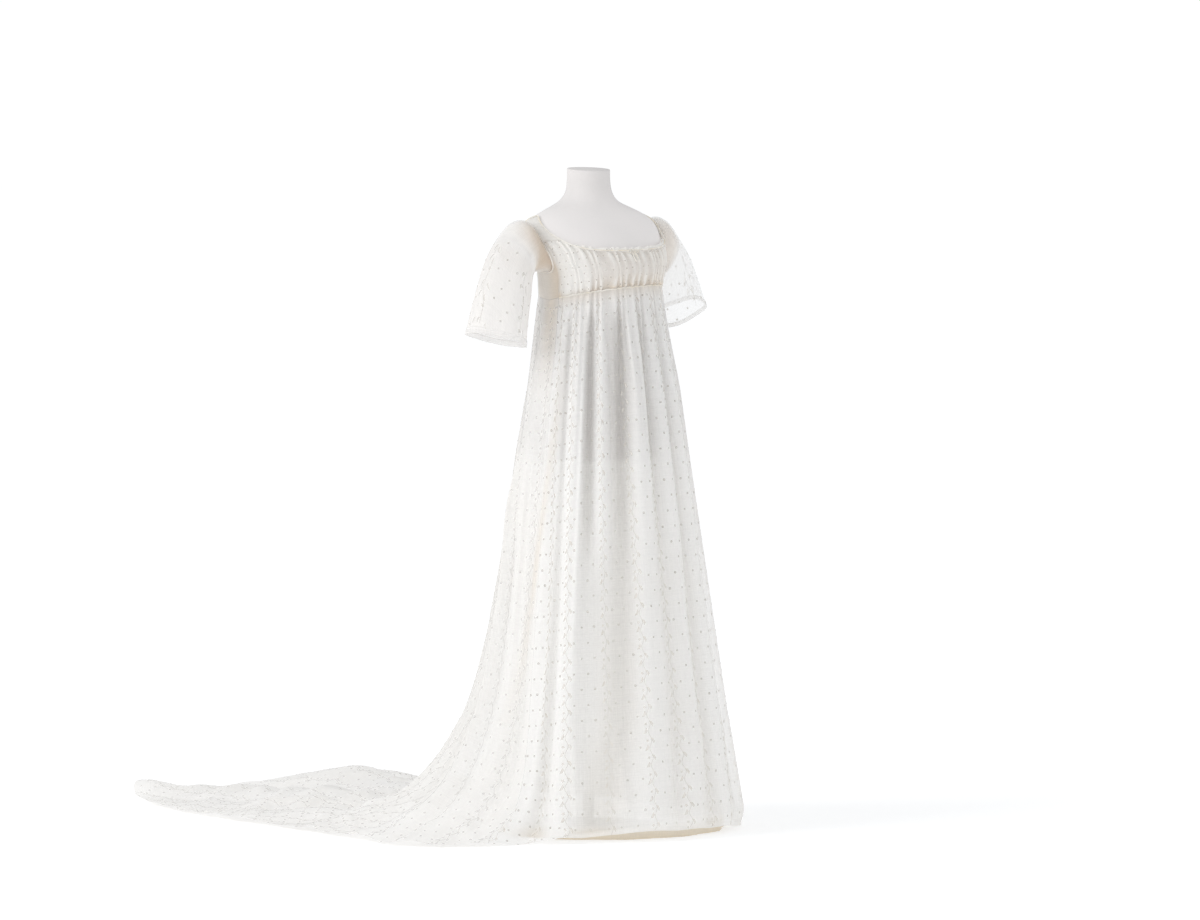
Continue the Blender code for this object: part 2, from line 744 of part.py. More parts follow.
def make_underskirt(collection, look, sides=48, steps=6):
    rows = []
    for k in range(steps + 1):
        share = k / steps
        row = []
        for i in range(sides):
            angle = 360.0 * i / sides
            a = math.radians(angle)
            inner = waist_stand_off(angle) - CLOTH - SEAM_GAP
            top = off_form(angle, waist_z(angle) - 0.003, inner)
            foot = Vector(
                (
                    UNDERSKIRT_X + UNDERSKIRT_HALF_WIDTH * math.sin(a),
                    UNDERSKIRT_Y - UNDERSKIRT_HALF_DEPTH * math.cos(a),
                    0.0,
                )
            )
            point = top.lerp(foot, share)
            wave = 0.5 - 0.5 * math.cos(UNDERSKIRT_FOLDS * a)
            middle = Vector((0, UNDERSKIRT_Y, point.z))
            inward = (middle - point).normalized()
            point += inward * UNDERSKIRT_FOLD_DEPTH * share * wave
            row.append(point)
        rows.append(row)
    return cloth("underskirt", rows[::-1], collection, look, around=True)


# Drawstrings


def neck_cord_point(angle):
    """Outside the cloth, along the neckline."""
    away = abs(wrapped(angle))
    corner = CORNERS[1 if wrapped(angle) > 0 else -1]
    along_strap = (away - corner.angle) / (STRAP_END_NECK - corner.angle)
    gathered = 1 - smooth((away - corner.angle) / 8.0)
    distance = strap_stand_off(min(1.0, max(0.0, along_strap)))
    distance += gathered * (0.4 * FRONT_STAND_OFF + GATHER_DEPTH - 0.0024)
    distance += CLOTH + SEAM_GAP + CORD_DIAMETER / 2 + gathered * 0.0012
    return off_form(angle, neckline_z(angle) - 0.0015, distance)


def waist_cord_point(angle):
    distance = waist_stand_off(angle) + GATHER_DEPTH + SKIRT_CLOTH
    distance += 0.4 * CORD_DIAMETER + 0.3 * SEAM_GAP
    return off_form(angle, waist_z(angle), distance)


def make_bow(name, centre, collection, look):
    """A small bow of one cord: a knot, two loops and two hanging ends."""
    sideways = Vector((1, 0, 0))
    down = Vector((0, -BOW_SLOPE, -1)).normalized()
    bm = bmesh.new()
    bmesh.ops.create_uvsphere(bm, u_segments=10, v_segments=6, radius=BOW_KNOT / 2)
    knot = bpy.data.objects.new(f"{name}_knot", new_mesh(f"{name}_knot", bm))
    knot.location = centre
    link(knot, collection, look)
    for side, word in ((-1, "right"), (1, "left")):
        root = centre + sideways * side * BOW_KNOT * 0.43
        loop = []
        for k in range(9):
            turn = math.radians(lerp(24, 336, k / 8))
            reach = BOW_LOOP / 2 * (1 - math.cos(turn))
            drop = 0.25 * reach - BOW_LOOP * 0.28 * math.sin(turn)
            loop.append(root + sideways * side * reach + down * drop)
        cord(f"{name}_loop_{word}", loop, BOW_CORD, collection, look)
        start = centre + down * BOW_KNOT * 0.52 + sideways * side * BOW_KNOT * 0.25
        end = []
        for k in range(6):
            share = k / 5
            spread = side * 0.008 * share * (1.4 - share)
            end.append(start + down * BOW_END * share + sideways * spread)
        cord(f"{name}_end_{word}", end, BOW_CORD, collection, look)


def make_drawstrings(collection, look):
    apart = 2.0  # degrees, from the knot to each end of the cord
    neck = [neck_cord_point(apart + (360 - 2 * apart) * k / 72) for k in range(73)]
    cord("neck_drawstring", neck, CORD_DIAMETER, collection, look)
    reach = SEAM_ANGLE - 2
    waist = [waist_cord_point(lerp(-reach, reach, k / 40)) for k in range(41)]
    cord("waist_drawstring", waist, CORD_DIAMETER, collection, look)
    make_bow("neck_bow", neck_cord_point(0.0) + Vector((0, -0.0024, 0)), collection, look)


def main():
    clear_scene()
    gown = bpy.data.collections.new("regency_gown")
    bpy.context.scene.collection.children.link(gown)
    looks = {
        "muslin": material("muslin", WHITE_MUSLIN, 0.85),
        "bodice": material("bodice_muslin", IVORY, 0.85),
        "lining": material("sleeve_lining", IVORY, 0.80),
        "underskirt": material("underskirt_cotton", CREAM, 0.80),
        "cord": material("drawstring_cotton", IVORY, 0.80),
        "form": material("dress_form", FORM_GREY, 0.60),
        "stand": material("stand_paint", STAND_WHITE, 0.45),
    }
    make_form(gown, looks["form"])
    make_stand(gown, looks["stand"])
    make_bodice_front(gown, looks["bodice"])
    for side, name in ((-1, "right"), (1, "left")):
        make_bodice_side(side, f"bodice_side_{name}", gown, looks["bodice"])
        make_bodice_back(side, f"bodice_back_{name}", gown, looks["bodice"])
        make_strap(side, f"shoulder_strap_{name}", gown, looks["bodice"])
    for sleeve in SLEEVES:
        make_sleeve(sleeve, gown, looks)
    make_skirt(gown, looks)
    make_underskirt(gown, looks["underskirt"])
    make_drawstrings(gown, looks["cord"])


main()
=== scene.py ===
import math

import bpy
import mathutils
import numpy as np
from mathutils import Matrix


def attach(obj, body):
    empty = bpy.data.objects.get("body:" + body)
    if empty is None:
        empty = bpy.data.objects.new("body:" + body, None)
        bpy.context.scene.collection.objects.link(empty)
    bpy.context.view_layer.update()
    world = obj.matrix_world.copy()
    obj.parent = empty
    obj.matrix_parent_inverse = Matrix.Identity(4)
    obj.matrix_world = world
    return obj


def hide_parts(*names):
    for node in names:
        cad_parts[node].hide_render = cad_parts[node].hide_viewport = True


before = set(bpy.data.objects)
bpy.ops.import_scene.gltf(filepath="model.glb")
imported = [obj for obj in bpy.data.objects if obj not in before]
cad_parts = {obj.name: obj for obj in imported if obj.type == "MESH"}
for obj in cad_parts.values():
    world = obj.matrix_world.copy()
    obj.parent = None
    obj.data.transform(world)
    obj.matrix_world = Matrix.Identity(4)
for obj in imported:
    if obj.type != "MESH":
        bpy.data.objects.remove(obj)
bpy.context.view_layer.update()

# The wearer faces -Y. An angle round the body is 0 at the centre front, 90 at the
# wearer's left, 180 at the centre back and -90 at the wearer's right.
seamAngle = 76.0  # side seams of the skirt and the bodice
backSeamAngle = 116.0  # between the side and the back of the bodice
strapEndAngle = 112.5  # where a strap meets the back, at the armhole
strapEndNeck = 124.0  # and at the neckline
seamGap = 0.0005
clothWall = 0.0012


# Small tools

def smooth(x):
    x = np.clip(x, 0.0, 1.0)
    return x * x * (3 - 2 * x)


def lerp(a, b, share):
    return a + (b - a) * share


def wrapped(angle):
    return (np.asarray(angle) + 180.0) % 360.0 - 180.0


def unit(vectors):
    return vectors / np.maximum(np.linalg.norm(vectors, axis=-1, keepdims=True), 1e-9)


def readTable(table, column, at):
    # a smooth cubic through the table's rows
    keys, values = table[:, 0], table[:, column]
    at = np.clip(at, keys[0], keys[-1])
    i = np.clip(np.searchsorted(keys, at, side="right") - 1, 0, len(keys) - 2)
    low = np.maximum(np.arange(len(keys)) - 1, 0)
    high = np.minimum(np.arange(len(keys)) + 1, len(keys) - 1)
    slope = (values[high] - values[low]) / (keys[high] - keys[low])
    span = keys[i + 1] - keys[i]
    t = (at - keys[i]) / span
    start = (2 * t**3 - 3 * t**2 + 1) * values[i] + (t**3 - 2 * t**2 + t) * span * slope[i]
    return start + (3 * t**2 - 2 * t**3) * values[i + 1] + (t**3 - t**2) * span * slope[i + 1]


def lengthsAlong(points, axis):
    # distance along rows or columns of points, starting at 0
    steps = np.linalg.norm(np.diff(points, axis=axis), axis=-1)
    start = np.zeros_like(np.take(steps, [0], axis=axis))
    return np.cumsum(np.concatenate([start, steps], axis=axis), axis=axis)


# Dress form: height, half width, half depth, and how far back its middle lies

formTable = np.array([
    (0.820, 0.164, 0.112, -0.018), (0.900, 0.158, 0.109, -0.019), (0.970, 0.132, 0.099, -0.021),
    (1.030, 0.120, 0.093, -0.022), (1.110, 0.128, 0.100, -0.027), (1.180, 0.138, 0.106, -0.031),
    (1.235, 0.146, 0.113, -0.034), (1.270, 0.163, 0.110, -0.026), (1.300, 0.177, 0.101, -0.014),
    (1.318, 0.180, 0.091, -0.007), (1.332, 0.175, 0.083, -0.003), (1.345, 0.161, 0.076, 0.000),
    (1.356, 0.141, 0.070, 0.001), (1.366, 0.116, 0.065, 0.002), (1.382, 0.075, 0.057, 0.002),
    (1.400, 0.056, 0.050, 0.000), (1.425, 0.0485, 0.0475, 0.000), (1.454, 0.0475, 0.0475, 0.000),
])


def formSurface(angle, z):
    a = np.radians(angle)
    z = z + 0.0 * a
    x = readTable(formTable, 1, z) * np.sin(a)
    y = readTable(formTable, 3, z) - readTable(formTable, 2, z) * np.cos(a)
    return np.stack([x, y, z], axis=-1)


def offForm(angle, z, distance):
    around = formSurface(angle + 0.5, z) - formSurface(angle - 0.5, z)
    up = formSurface(angle, z + 0.001) - formSurface(angle, z - 0.001)
    return formSurface(angle, z) + unit(np.cross(around, up)) * np.asarray(distance)[..., None]


# Neckline: angle, height on the wearer's right, height on the left

necklineTable = np.array([
    (0, 1.277, 1.277), (30, 1.281, 1.279), (45, 1.290, 1.283), (53, 1.302, 1.288),
    (60, 1.317, 1.298), (66, 1.330, 1.309), (75, 1.343, 1.327), (82, 1.350, 1.340),
    (90, 1.354, 1.348), (100, 1.351, 1.349), (112, 1.341, 1.339), (124, 1.326, 1.325),
    (140, 1.314, 1.314), (160, 1.307, 1.307), (180, 1.305, 1.305),
])
corners = {-1: (1.3020, 53.0), 1: (1.2965, 59.5)}  # top corners of the front: height, angle
waist = {"height": 1.178, "frontRise": 0.027, "backRise": 0.012, "lean": 0.005,
         "frontOff": 0.0080, "sideOff": 0.0055}
armhole = {"z": 1.280, "up": 0.050, "down": 0.048, "front": 15.0, "back": 22.0}
gathers = {"count": 22, "depth": 0.0028}


def necklineZ(angle):
    away = np.abs(wrapped(angle))
    right, left = readTable(necklineTable, 1, away), readTable(necklineTable, 2, away)
    return np.where(wrapped(angle) > 0, left, right)


def waistZ(angle):
    a = np.radians(angle)
    front = waist["frontRise"] * np.maximum(0.0, np.cos(a))
    back = waist["backRise"] * np.maximum(0.0, -np.cos(a))
    return waist["height"] + front + back + waist["lean"] * np.sin(a)


def waistOff(angle):
    front = np.maximum(0.0, np.cos(np.radians(angle)))
    return lerp(waist["sideOff"], waist["frontOff"], smooth(2.2 * front))


def seamOff(angle, z):
    return lerp(waistOff(angle), 0.0024, smooth((z - waistZ(angle)) / 0.09))


def gatherTurns(angle):
    # unevenly spaced: some gathers lie close together
    turns = gathers["count"] * (angle + seamAngle) / (2 * seamAngle)
    return turns + 0.26 * np.sin(turns * 1.19 + 1.0) + 0.20 * np.sin(turns * 2.17)


def gatherWave(angle):
    wave = 0.5 - 0.5 * np.cos(2 * np.pi * gatherTurns(angle))
    return wave * smooth((seamAngle - np.abs(angle)) / 8.0)


def uneven(angle, low, high, seed):
    # one value for each gather, blended from crest to crest
    values = np.random.default_rng(seed).uniform(low, high, gathers["count"] + 3)
    turns = np.clip(gatherTurns(angle), 0, gathers["count"]) + 0.5
    i = np.floor(turns).astype(int)
    return lerp(values[i], values[i + 1], smooth(turns - i))


# Node building

def addNode(tree, kind, sockets=None, **settings):
    made = tree.nodes.new(kind)
    for name, value in settings.items():
        setattr(made, name, value)
    for key, value in (sockets or {}).items():
        if isinstance(value, bpy.types.NodeSocket):
            tree.links.new(value, made.inputs[key])
        else:
            made.inputs[key].default_value = value
    return made


def mathNode(tree, kind, operation, *values):
    sockets = {i: value for i, value in enumerate(values)}
    return addNode(tree, kind, sockets, operation=operation).outputs[0]


def calc(tree, operation, *values):
    return mathNode(tree, "ShaderNodeMath", operation, *values)


def calcVector(tree, operation, *values):
    return mathNode(tree, "ShaderNodeVectorMath", operation, *values)


def newGroup(name, kind, inputs, outputs):
    tree = bpy.data.node_groups.new(name, kind)
    for label, socketKind, value in inputs:
        made = tree.interface.new_socket(label, in_out="INPUT", socket_type=socketKind)
        if value is not None:
            made.default_value = value
    for label, socketKind in outputs:
        tree.interface.new_socket(label, in_out="OUTPUT", socket_type=socketKind)
    return tree, tree.nodes.new("NodeGroupInput"), tree.nodes.new("NodeGroupOutput")


def mixColour(tree, share, first, second, blend="MIX"):
    made = addNode(tree, "ShaderNodeMix", data_type="RGBA", blend_type=blend)
    for i, value in ((0, share), (6, first), (7, second)):
        if isinstance(value, bpy.types.NodeSocket):
            tree.links.new(value, made.inputs[i])
        else:
            made.inputs[i].default_value = value
    return made.outputs[2]


def weaveGroup():
    # Irregular warp and weft threads, with thicker slubs, from a map in metres
    tree, inside, out = newGroup(
        "plainWeave", "ShaderNodeTree",
        [("Map", "NodeSocketVector", None), ("Threads", "NodeSocketFloat", 1500.0),
         ("Slubs", "NodeSocketFloat", 420.0)],
        [("Cover", "NodeSocketFloat"), ("Slub", "NodeSocketFloat"), ("Height", "NodeSocketFloat")],
    )
    axes = addNode(tree, "ShaderNodeSeparateXYZ", {0: inside.outputs["Map"]})
    found = {}
    for word, first, second in (("warp", 0, 1), ("weft", 1, 0)):
        for part, count, run in (("thread", "Threads", 90.0), ("slub", "Slubs", 9.0)):
            across = calc(tree, "MULTIPLY", axes.outputs[first], inside.outputs[count])
            down = calc(tree, "MULTIPLY", axes.outputs[second], run)
            spot = addNode(tree, "ShaderNodeCombineXYZ", {0: across, 1: down, 2: 3.0 * first})
            noise = addNode(tree, "ShaderNodeTexNoise",
                            {"Vector": spot.outputs[0], "Scale": 1.0, "Detail": 1.0})
            found[word + part] = noise.outputs[0]
    threads = calc(tree, "ADD", found["warpthread"], found["weftthread"])
    slubs = calc(tree, "ADD", found["warpslub"], found["weftslub"])
    for label, value in (("Cover", threads), ("Slub", slubs)):
        middle = calc(tree, "SUBTRACT", value, 1.0)
        tree.links.new(middle, out.inputs[label])
    tree.links.new(calc(tree, "MAXIMUM", found["warpthread"], found["weftthread"]),
                   out.inputs["Height"])
    return tree


def mottleGroup():
    # Soft uneven toning, such as old cloth and plaster have
    tree, inside, out = newGroup(
        "softToning", "ShaderNodeTree",
        [("Vector", "NodeSocketVector", None), ("Scale", "NodeSocketFloat", 6.0)],
        [("Tone", "NodeSocketFloat"), ("Grain", "NodeSocketFloat")],
    )
    broad = addNode(tree, "ShaderNodeTexNoise",
                    {"Vector": inside.outputs[0], "Scale": inside.outputs[1], "Detail": 3.0})
    fine = calc(tree, "MULTIPLY", inside.outputs[1], 60.0)
    grain = addNode(tree, "ShaderNodeTexNoise",
                    {"Vector": inside.outputs[0], "Scale": fine, "Detail": 2.0})
    tree.links.new(smoothed(tree, broad.outputs[0], 0.35, 0.68), out.inputs["Tone"])
    tree.links.new(grain.outputs[0], out.inputs["Grain"])
    return tree


def smoothed(tree, value, low, high):
    made = addNode(tree, "ShaderNodeMapRange", {0: value, 1: low, 2: high},
                   interpolation_type="SMOOTHSTEP")
    return made.outputs[0]


plainWeave = weaveGroup()
softToning = mottleGroup()


def newMaterial(name, roughness):
    made = bpy.data.materials.new(name)
    made.use_nodes = True
    shader = made.node_tree.nodes["Principled BSDF"]
    shader.inputs["Roughness"].default_value = roughness
    return made, made.node_tree, shader


def clothMaterial(name, look):
    # cover is the share of the cloth that isn't holes; "doubled" and "yellowedAndShaded" are painted
    # on the mesh where the cloth is turned over, and where it has yellowed and where shade is painted
    made, tree, shader = newMaterial(name, look.get("roughness", 0.85))
    spot = addNode(tree, "ShaderNodeUVMap", uv_map="cloth").outputs[0]
    place = addNode(tree, "ShaderNodeTexCoord").outputs["Object"]
    weave = addNode(tree, "ShaderNodeGroup", node_tree=plainWeave)
    tree.links.new(spot, weave.inputs["Map"])
    toning = addNode(tree, "ShaderNodeGroup", node_tree=softToning)
    tree.links.new(place, toning.inputs["Vector"])
    yellowedAndShaded = addNode(tree, "ShaderNodeAttribute", attribute_name="yellowedAndShaded").outputs["Fac"]
    doubled = addNode(tree, "ShaderNodeAttribute", attribute_name="doubled").outputs["Fac"]
    toned = calc(tree, "MULTIPLY", toning.outputs["Tone"], look.get("toning", 0.35))
    colour = mixColour(tree, toned, (*look["colour"], 1), (*look["toned"], 1))
    # browner where the cloth has yellowed and where shade is painted into its colour
    colour = mixColour(tree, yellowedAndShaded, colour, (*look["yellowedAndShadedColour"], 1))
    shade = calc(tree, "MULTIPLY_ADD", weave.outputs["Cover"], look.get("threadShade", 0.06), 1.0)
    colour = mixColour(tree, 1.0, colour, shade, "MULTIPLY")
    tree.links.new(colour, shader.inputs["Base Color"])
    if look["cover"] < 1.0:
        # the glow below is never see-through, so the rest of the cloth makes up for it
        rest = 1 - look["glow"]
        cover = calc(tree, "MULTIPLY_ADD", weave.outputs["Cover"], look.get("threadCover", 0.12),
                     look["cover"])
        cover = calc(tree, "MULTIPLY_ADD", weave.outputs["Slub"], look.get("slubCover", 0.10), cover)
        more = calc(tree, "MULTIPLY", doubled, look.get("doubledCover", 0.25))
        cover = calc(tree, "ADD", cover, more)
        alpha = calc(tree, "MULTIPLY_ADD", cover, 1 / rest, -look["glow"] / rest)
        alpha = addNode(tree, "ShaderNodeClamp", {0: alpha}).outputs[0]
        tree.links.new(alpha, shader.inputs["Alpha"])
    bump = addNode(tree, "ShaderNodeBump",
                   {"Height": weave.outputs["Height"], "Strength": look.get("bump", 0.25),
                    "Distance": 0.0004})
    tree.links.new(bump.outputs[0], shader.inputs["Normal"])
    shader.inputs["Sheen Weight"].default_value = look.get("sheen", 0.15)
    # part of the light that meets the threads comes out at the back
    glow = addNode(tree, "ShaderNodeBsdfTranslucent",
                   {"Color": (*look["colour"], 1), "Normal": bump.outputs[0]})
    both = addNode(tree, "ShaderNodeMixShader",
                   {0: look["glow"], 1: shader.outputs[0], 2: glow.outputs[0]})
    tree.links.new(both.outputs[0], tree.nodes["Material Output"].inputs[0])
    return made


def threadMaterial(name, look):
    # Cotton thread in embroidery, stitches and cords
    made, tree, shader = newMaterial(name, 0.7)
    shader.inputs["Alpha"].default_value = look.get("cover", 1.0)
    place = addNode(tree, "ShaderNodeTexCoord").outputs["Object"]
    toning = addNode(tree, "ShaderNodeGroup", node_tree=softToning)
    toning.inputs["Scale"].default_value = look["scale"]
    tree.links.new(place, toning.inputs["Vector"])
    colour = mixColour(tree, toning.outputs["Tone"], (*look["colour"], 1), (*look["toned"], 1))
    tree.links.new(colour, shader.inputs["Base Color"])
    bump = addNode(tree, "ShaderNodeBump", {"Height": toning.outputs["Grain"],
                                            "Strength": 0.4, "Distance": 0.0003})
    tree.links.new(bump.outputs[0], shader.inputs["Normal"])
    return made


def hardMaterial(name, look):
    # Painted or covered hard surfaces of the form and the stand
    made, tree, shader = newMaterial(name, look["roughness"])
    place = addNode(tree, "ShaderNodeTexCoord").outputs["Object"]
    toning = addNode(tree, "ShaderNodeGroup", node_tree=softToning)
    toning.inputs["Scale"].default_value = look["scale"]
    tree.links.new(place, toning.inputs["Vector"])
    colour = mixColour(tree, toning.outputs["Tone"], (*look["colour"], 1), (*look["toned"], 1))
    grainShade = calc(tree, "MULTIPLY_ADD", toning.outputs["Grain"], look["grain"],
                      1.0 - look["grain"] / 2)
    colour = mixColour(tree, 1.0, colour, grainShade, "MULTIPLY")
    height = addNode(tree, "ShaderNodeSeparateXYZ", {0: place}).outputs[2]
    # painted shade: the colour is darkened over bands of height
    for low, high, share in look.get("paintedShadeBands", ()):
        paintedShadeFactor = calc(tree, "MULTIPLY_ADD", smoothed(tree, height, low, high), share, 1 - share)
        colour = mixColour(tree, 1.0, colour, paintedShadeFactor, "MULTIPLY")
    tree.links.new(colour, shader.inputs["Base Color"])
    rough = calc(tree, "MULTIPLY_ADD", toning.outputs["Grain"], 0.15, look["roughness"] - 0.07)
    tree.links.new(rough, shader.inputs["Roughness"])
    bump = addNode(tree, "ShaderNodeBump", {"Height": toning.outputs["Grain"],
                                            "Strength": look["bump"], "Distance": 0.0006})
    tree.links.new(bump.outputs[0], shader.inputs["Normal"])
    return made


muslinLook = {"colour": (0.935, 0.925, 0.91), "toned": (0.92, 0.90, 0.87), "glow": 0.22,
              "yellowedAndShadedColour": (0.78, 0.66, 0.52), "cover": 0.38, "doubledCover": 0.54}
bodiceLook = {**muslinLook, "colour": (0.93, 0.915, 0.885), "toned": (0.91, 0.88, 0.835),
              "cover": 0.50, "doubledCover": 0.52, "threadCover": 0.1, "slubCover": 0.1}
sleeveLook = {**muslinLook, "colour": (0.92, 0.91, 0.90), "toned": (0.91, 0.895, 0.88),
              "yellowedAndShadedColour": (0.68, 0.56, 0.44),
              "cover": 0.45, "doubledCover": 0.50}
liningLook = {**muslinLook, "colour": (0.97, 0.955, 0.935), "toned": (0.96, 0.94, 0.91),
              "yellowedAndShadedColour": (0.68, 0.56, 0.44), "cover": 1.0}
underskirtLook = {**muslinLook, "colour": (0.93, 0.92, 0.90), "toned": (0.92, 0.90, 0.87),
                  "yellowedAndShadedColour": (0.66, 0.52, 0.31), "cover": 0.28, "doubledCover": 0.6}

muslin = clothMaterial("sheerMuslin", muslinLook)
bodiceMuslin = clothMaterial("linedMuslin", bodiceLook)
sleeveMuslin = clothMaterial("sleeveMuslin", sleeveLook)
liningCotton = clothMaterial("liningCotton", liningLook)
underskirtCotton = clothMaterial("underskirtCotton", underskirtLook)
whitework = threadMaterial("whiteworkThread", {"colour": (0.78, 0.76, 0.72),
                                               "toned": (0.70, 0.67, 0.61), "scale": 60.0,
                                               "cover": 0.50})
vineCotton = threadMaterial("vineThread", {"colour": (0.83, 0.80, 0.74),
                                           "toned": (0.76, 0.71, 0.63), "scale": 60.0,
                                           "cover": 0.42})
# the same whitework thread made lighter on the back skirt and the train: painted light
litTrainCotton = threadMaterial("litTrainThread", {"colour": (0.88, 0.87, 0.85),
                                             "toned": (0.83, 0.81, 0.78), "scale": 60.0,
                                             "cover": 0.45})
cordCotton = threadMaterial("cordCotton", {"colour": (0.93, 0.905, 0.85),
                                           "toned": (0.86, 0.79, 0.66), "scale": 40.0})
pipingCotton = threadMaterial("pipingCotton", {"colour": (0.92, 0.89, 0.85),
                                               "toned": (0.84, 0.77, 0.68), "scale": 25.0})
# the form's colour has painted shade: darker below the bust, where the gown covers it, and at the top of
# the neck
formCover = hardMaterial("formCover", {"colour": (0.87, 0.835, 0.82), "toned": (0.84, 0.81, 0.795),
                                       "roughness": 0.7, "scale": 8.0, "grain": 0.05, "bump": 0.15,
                                       "paintedShadeBands": [(1.06, 1.25, 0.31), (1.43, 1.34, 0.17)]})
standPaint = hardMaterial("standPaint", {"colour": (0.95, 0.95, 0.94), "toned": (0.92, 0.92, 0.91),
                                         "roughness": 0.45, "scale": 12.0, "grain": 0.04,
                                         "bump": 0.2})
print("materials made")


# Pieces from grids of points

def newPiece(name, verts, faces, material):
    mesh = bpy.data.meshes.new(name)
    mesh.from_pydata(verts, [], faces)
    mesh.shade_smooth()
    mesh.materials.append(material)
    piece = bpy.data.objects.new(name, mesh)
    bpy.context.scene.collection.objects.link(piece)
    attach(piece, "root")
    return piece


def gridFaces(rows, columns, around):
    last = columns if around else columns - 1
    i, j = np.meshgrid(np.arange(rows - 1), np.arange(last), indexing="ij")
    k = (j + 1) % columns
    return np.stack([i * columns + j, i * columns + k, (i + 1) * columns + k,
                     (i + 1) * columns + j], axis=-1).reshape(-1, 4)


def paint(piece, name, values):
    layer = piece.data.attributes.new(name, "FLOAT", "POINT")
    layer.data.foreach_set("value", np.ascontiguousarray(values, np.float32).ravel())


def clothPiece(name, grid, clothMap, material, around=False, yellowedAndShaded=0.0, doubled=0.0):
    # clothMap is one map for the whole piece, or (first column, map) for each panel
    rows, columns = grid.shape[:2]
    faces = gridFaces(rows, columns, around)
    piece = newPiece(name, grid.reshape(-1, 3).tolist(), faces.tolist(), material)
    panels = clothMap if isinstance(clothMap, list) else [(0, clothMap)]
    last = columns if around else columns - 1
    i, j = np.meshgrid(np.arange(rows - 1), np.arange(last), indexing="ij")
    loops = np.zeros((rows - 1, last, 4, 2))
    for first, one in panels:
        here = (j[0] >= first) & (j[0] < first + one.shape[1] - 1)
        for corner, (down, across) in enumerate(((0, 0), (0, 1), (1, 1), (1, 0))):
            loops[:, here, corner] = one[(i + down)[:, here], (j + across - first)[:, here]]
    layer = piece.data.uv_layers.new(name="cloth")
    layer.data.foreach_set("uv", loops.astype(np.float32).ravel())
    paint(piece, "yellowedAndShaded", np.zeros((rows, columns)) + yellowedAndShaded)
    paint(piece, "doubled", np.zeros((rows, columns)) + doubled)
    return piece


def measuredMap(grid, start=0.0):
    # a map in metres from the lengths of the rows and columns, with u from start
    return np.stack([start + lengthsAlong(grid, 1), lengthsAlong(grid, 0)], axis=-1)


def tube(path, radius, sides=8, closed=False, twist=0.0):
    # rings round a path; radius may change along it
    path = np.asarray(path, float)
    if closed:
        ahead = np.roll(path, -1, axis=0) - np.roll(path, 1, axis=0)
    else:
        ahead = np.gradient(path, axis=0)
    ahead = unit(ahead)
    side = np.cross(ahead, [0.31, 0.17, 0.93])
    side = unit(side)
    other = np.cross(side, ahead)
    turns = 2 * np.pi * np.arange(sides) / sides
    rings = side[:, None] * np.cos(turns)[None, :, None]
    rings = rings + other[:, None] * np.sin(turns)[None, :, None]
    return path[:, None] + rings * np.broadcast_to(radius, len(path))[:, None, None]


def tubePiece(name, paths, radii, material, sides=8, closed=False):
    # several tubes in one piece, each closed in a ring or capped at its ends
    verts, faces = [], []
    for path, radius in zip(paths, radii):
        rings = tube(path, radius, sides, closed)
        start, count = len(verts), len(path)
        verts += rings.reshape(-1, 3).tolist()
        body = gridFaces(count, sides, True)
        if closed:
            j = np.arange(sides)
            k = (j + 1) % sides
            last = (count - 1) * sides
            body = np.concatenate([body, np.stack([last + j, last + k, k, j], axis=-1)])
        faces += (body[:, ::-1] + start).tolist()
        if not closed:
            faces.append([start + j for j in range(sides)])
            faces.append([start + (count - 1) * sides + j for j in range(sides)][::-1])
    return newPiece(name, verts, faces, material)


# Dress form and stand

form = {"sides": 144, "rings": 150, "edge": 0.0012, "neckTilt": 0.05}
stand = {"plateRadius": 0.150, "plateHeight": 0.009, "poleRadius": 0.0125,
         "flangeRadius": 0.050, "flangeHeight": 0.010, "seatGap": 0.0003, "bevel": 0.0015,
         "sides": 96}


def makeForm():
    foot, neck = formTable[0, 0], formTable[-1, 0]
    heights = np.linspace(foot, neck - form["edge"], form["rings"])
    angles = 360.0 * np.arange(form["sides"]) / form["sides"]
    rings = [formSurface(angles, z) for z in heights]
    for step in (0.35, 0.75, 1.0):  # rounded edge of the neck's flat top
        ring = formSurface(angles, neck)
        ring[:, :2] *= 1 - form["edge"] * (1 - math.sqrt(1 - step * step)) / 0.0475
        ring[:, 2] = neck - form["edge"] * (1 - step)
        rings.append(ring)
    for ring in rings:
        share = smooth((ring[:, 2] - 1.43) / (neck - 1.43))
        ring[:, 2] += form["neckTilt"] * ring[:, 1] * share
    verts = np.concatenate(rings)
    faces = gridFaces(len(rings), form["sides"], True).tolist()
    faces.append(list(range(form["sides"]))[::-1])
    faces.append([len(verts) - form["sides"] + i for i in range(form["sides"])])
    piece = newPiece("dressFormBody", verts.tolist(), faces, formCover)
    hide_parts("dress_form")


def turnedPiece(name, radius, low, high, replaced):
    bevel, sides = stand["bevel"], stand["sides"]
    profile = [(radius - bevel, low), (radius, low + bevel), (radius, high - bevel),
               (radius - 0.3 * bevel, high - 0.3 * bevel), (radius - bevel, high)]
    a = 2 * np.pi * np.arange(sides) / sides
    rings = [np.stack([r * np.cos(a), r * np.sin(a), 0 * a + z], axis=-1) for r, z in profile]
    faces = gridFaces(len(rings), sides, True).tolist()
    faces.append(list(range(sides))[::-1])
    faces.append([(len(rings) - 1) * sides + i for i in range(sides)])
    piece = newPiece(name, np.concatenate(rings).tolist(), faces, standPaint)
    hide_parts(replaced)


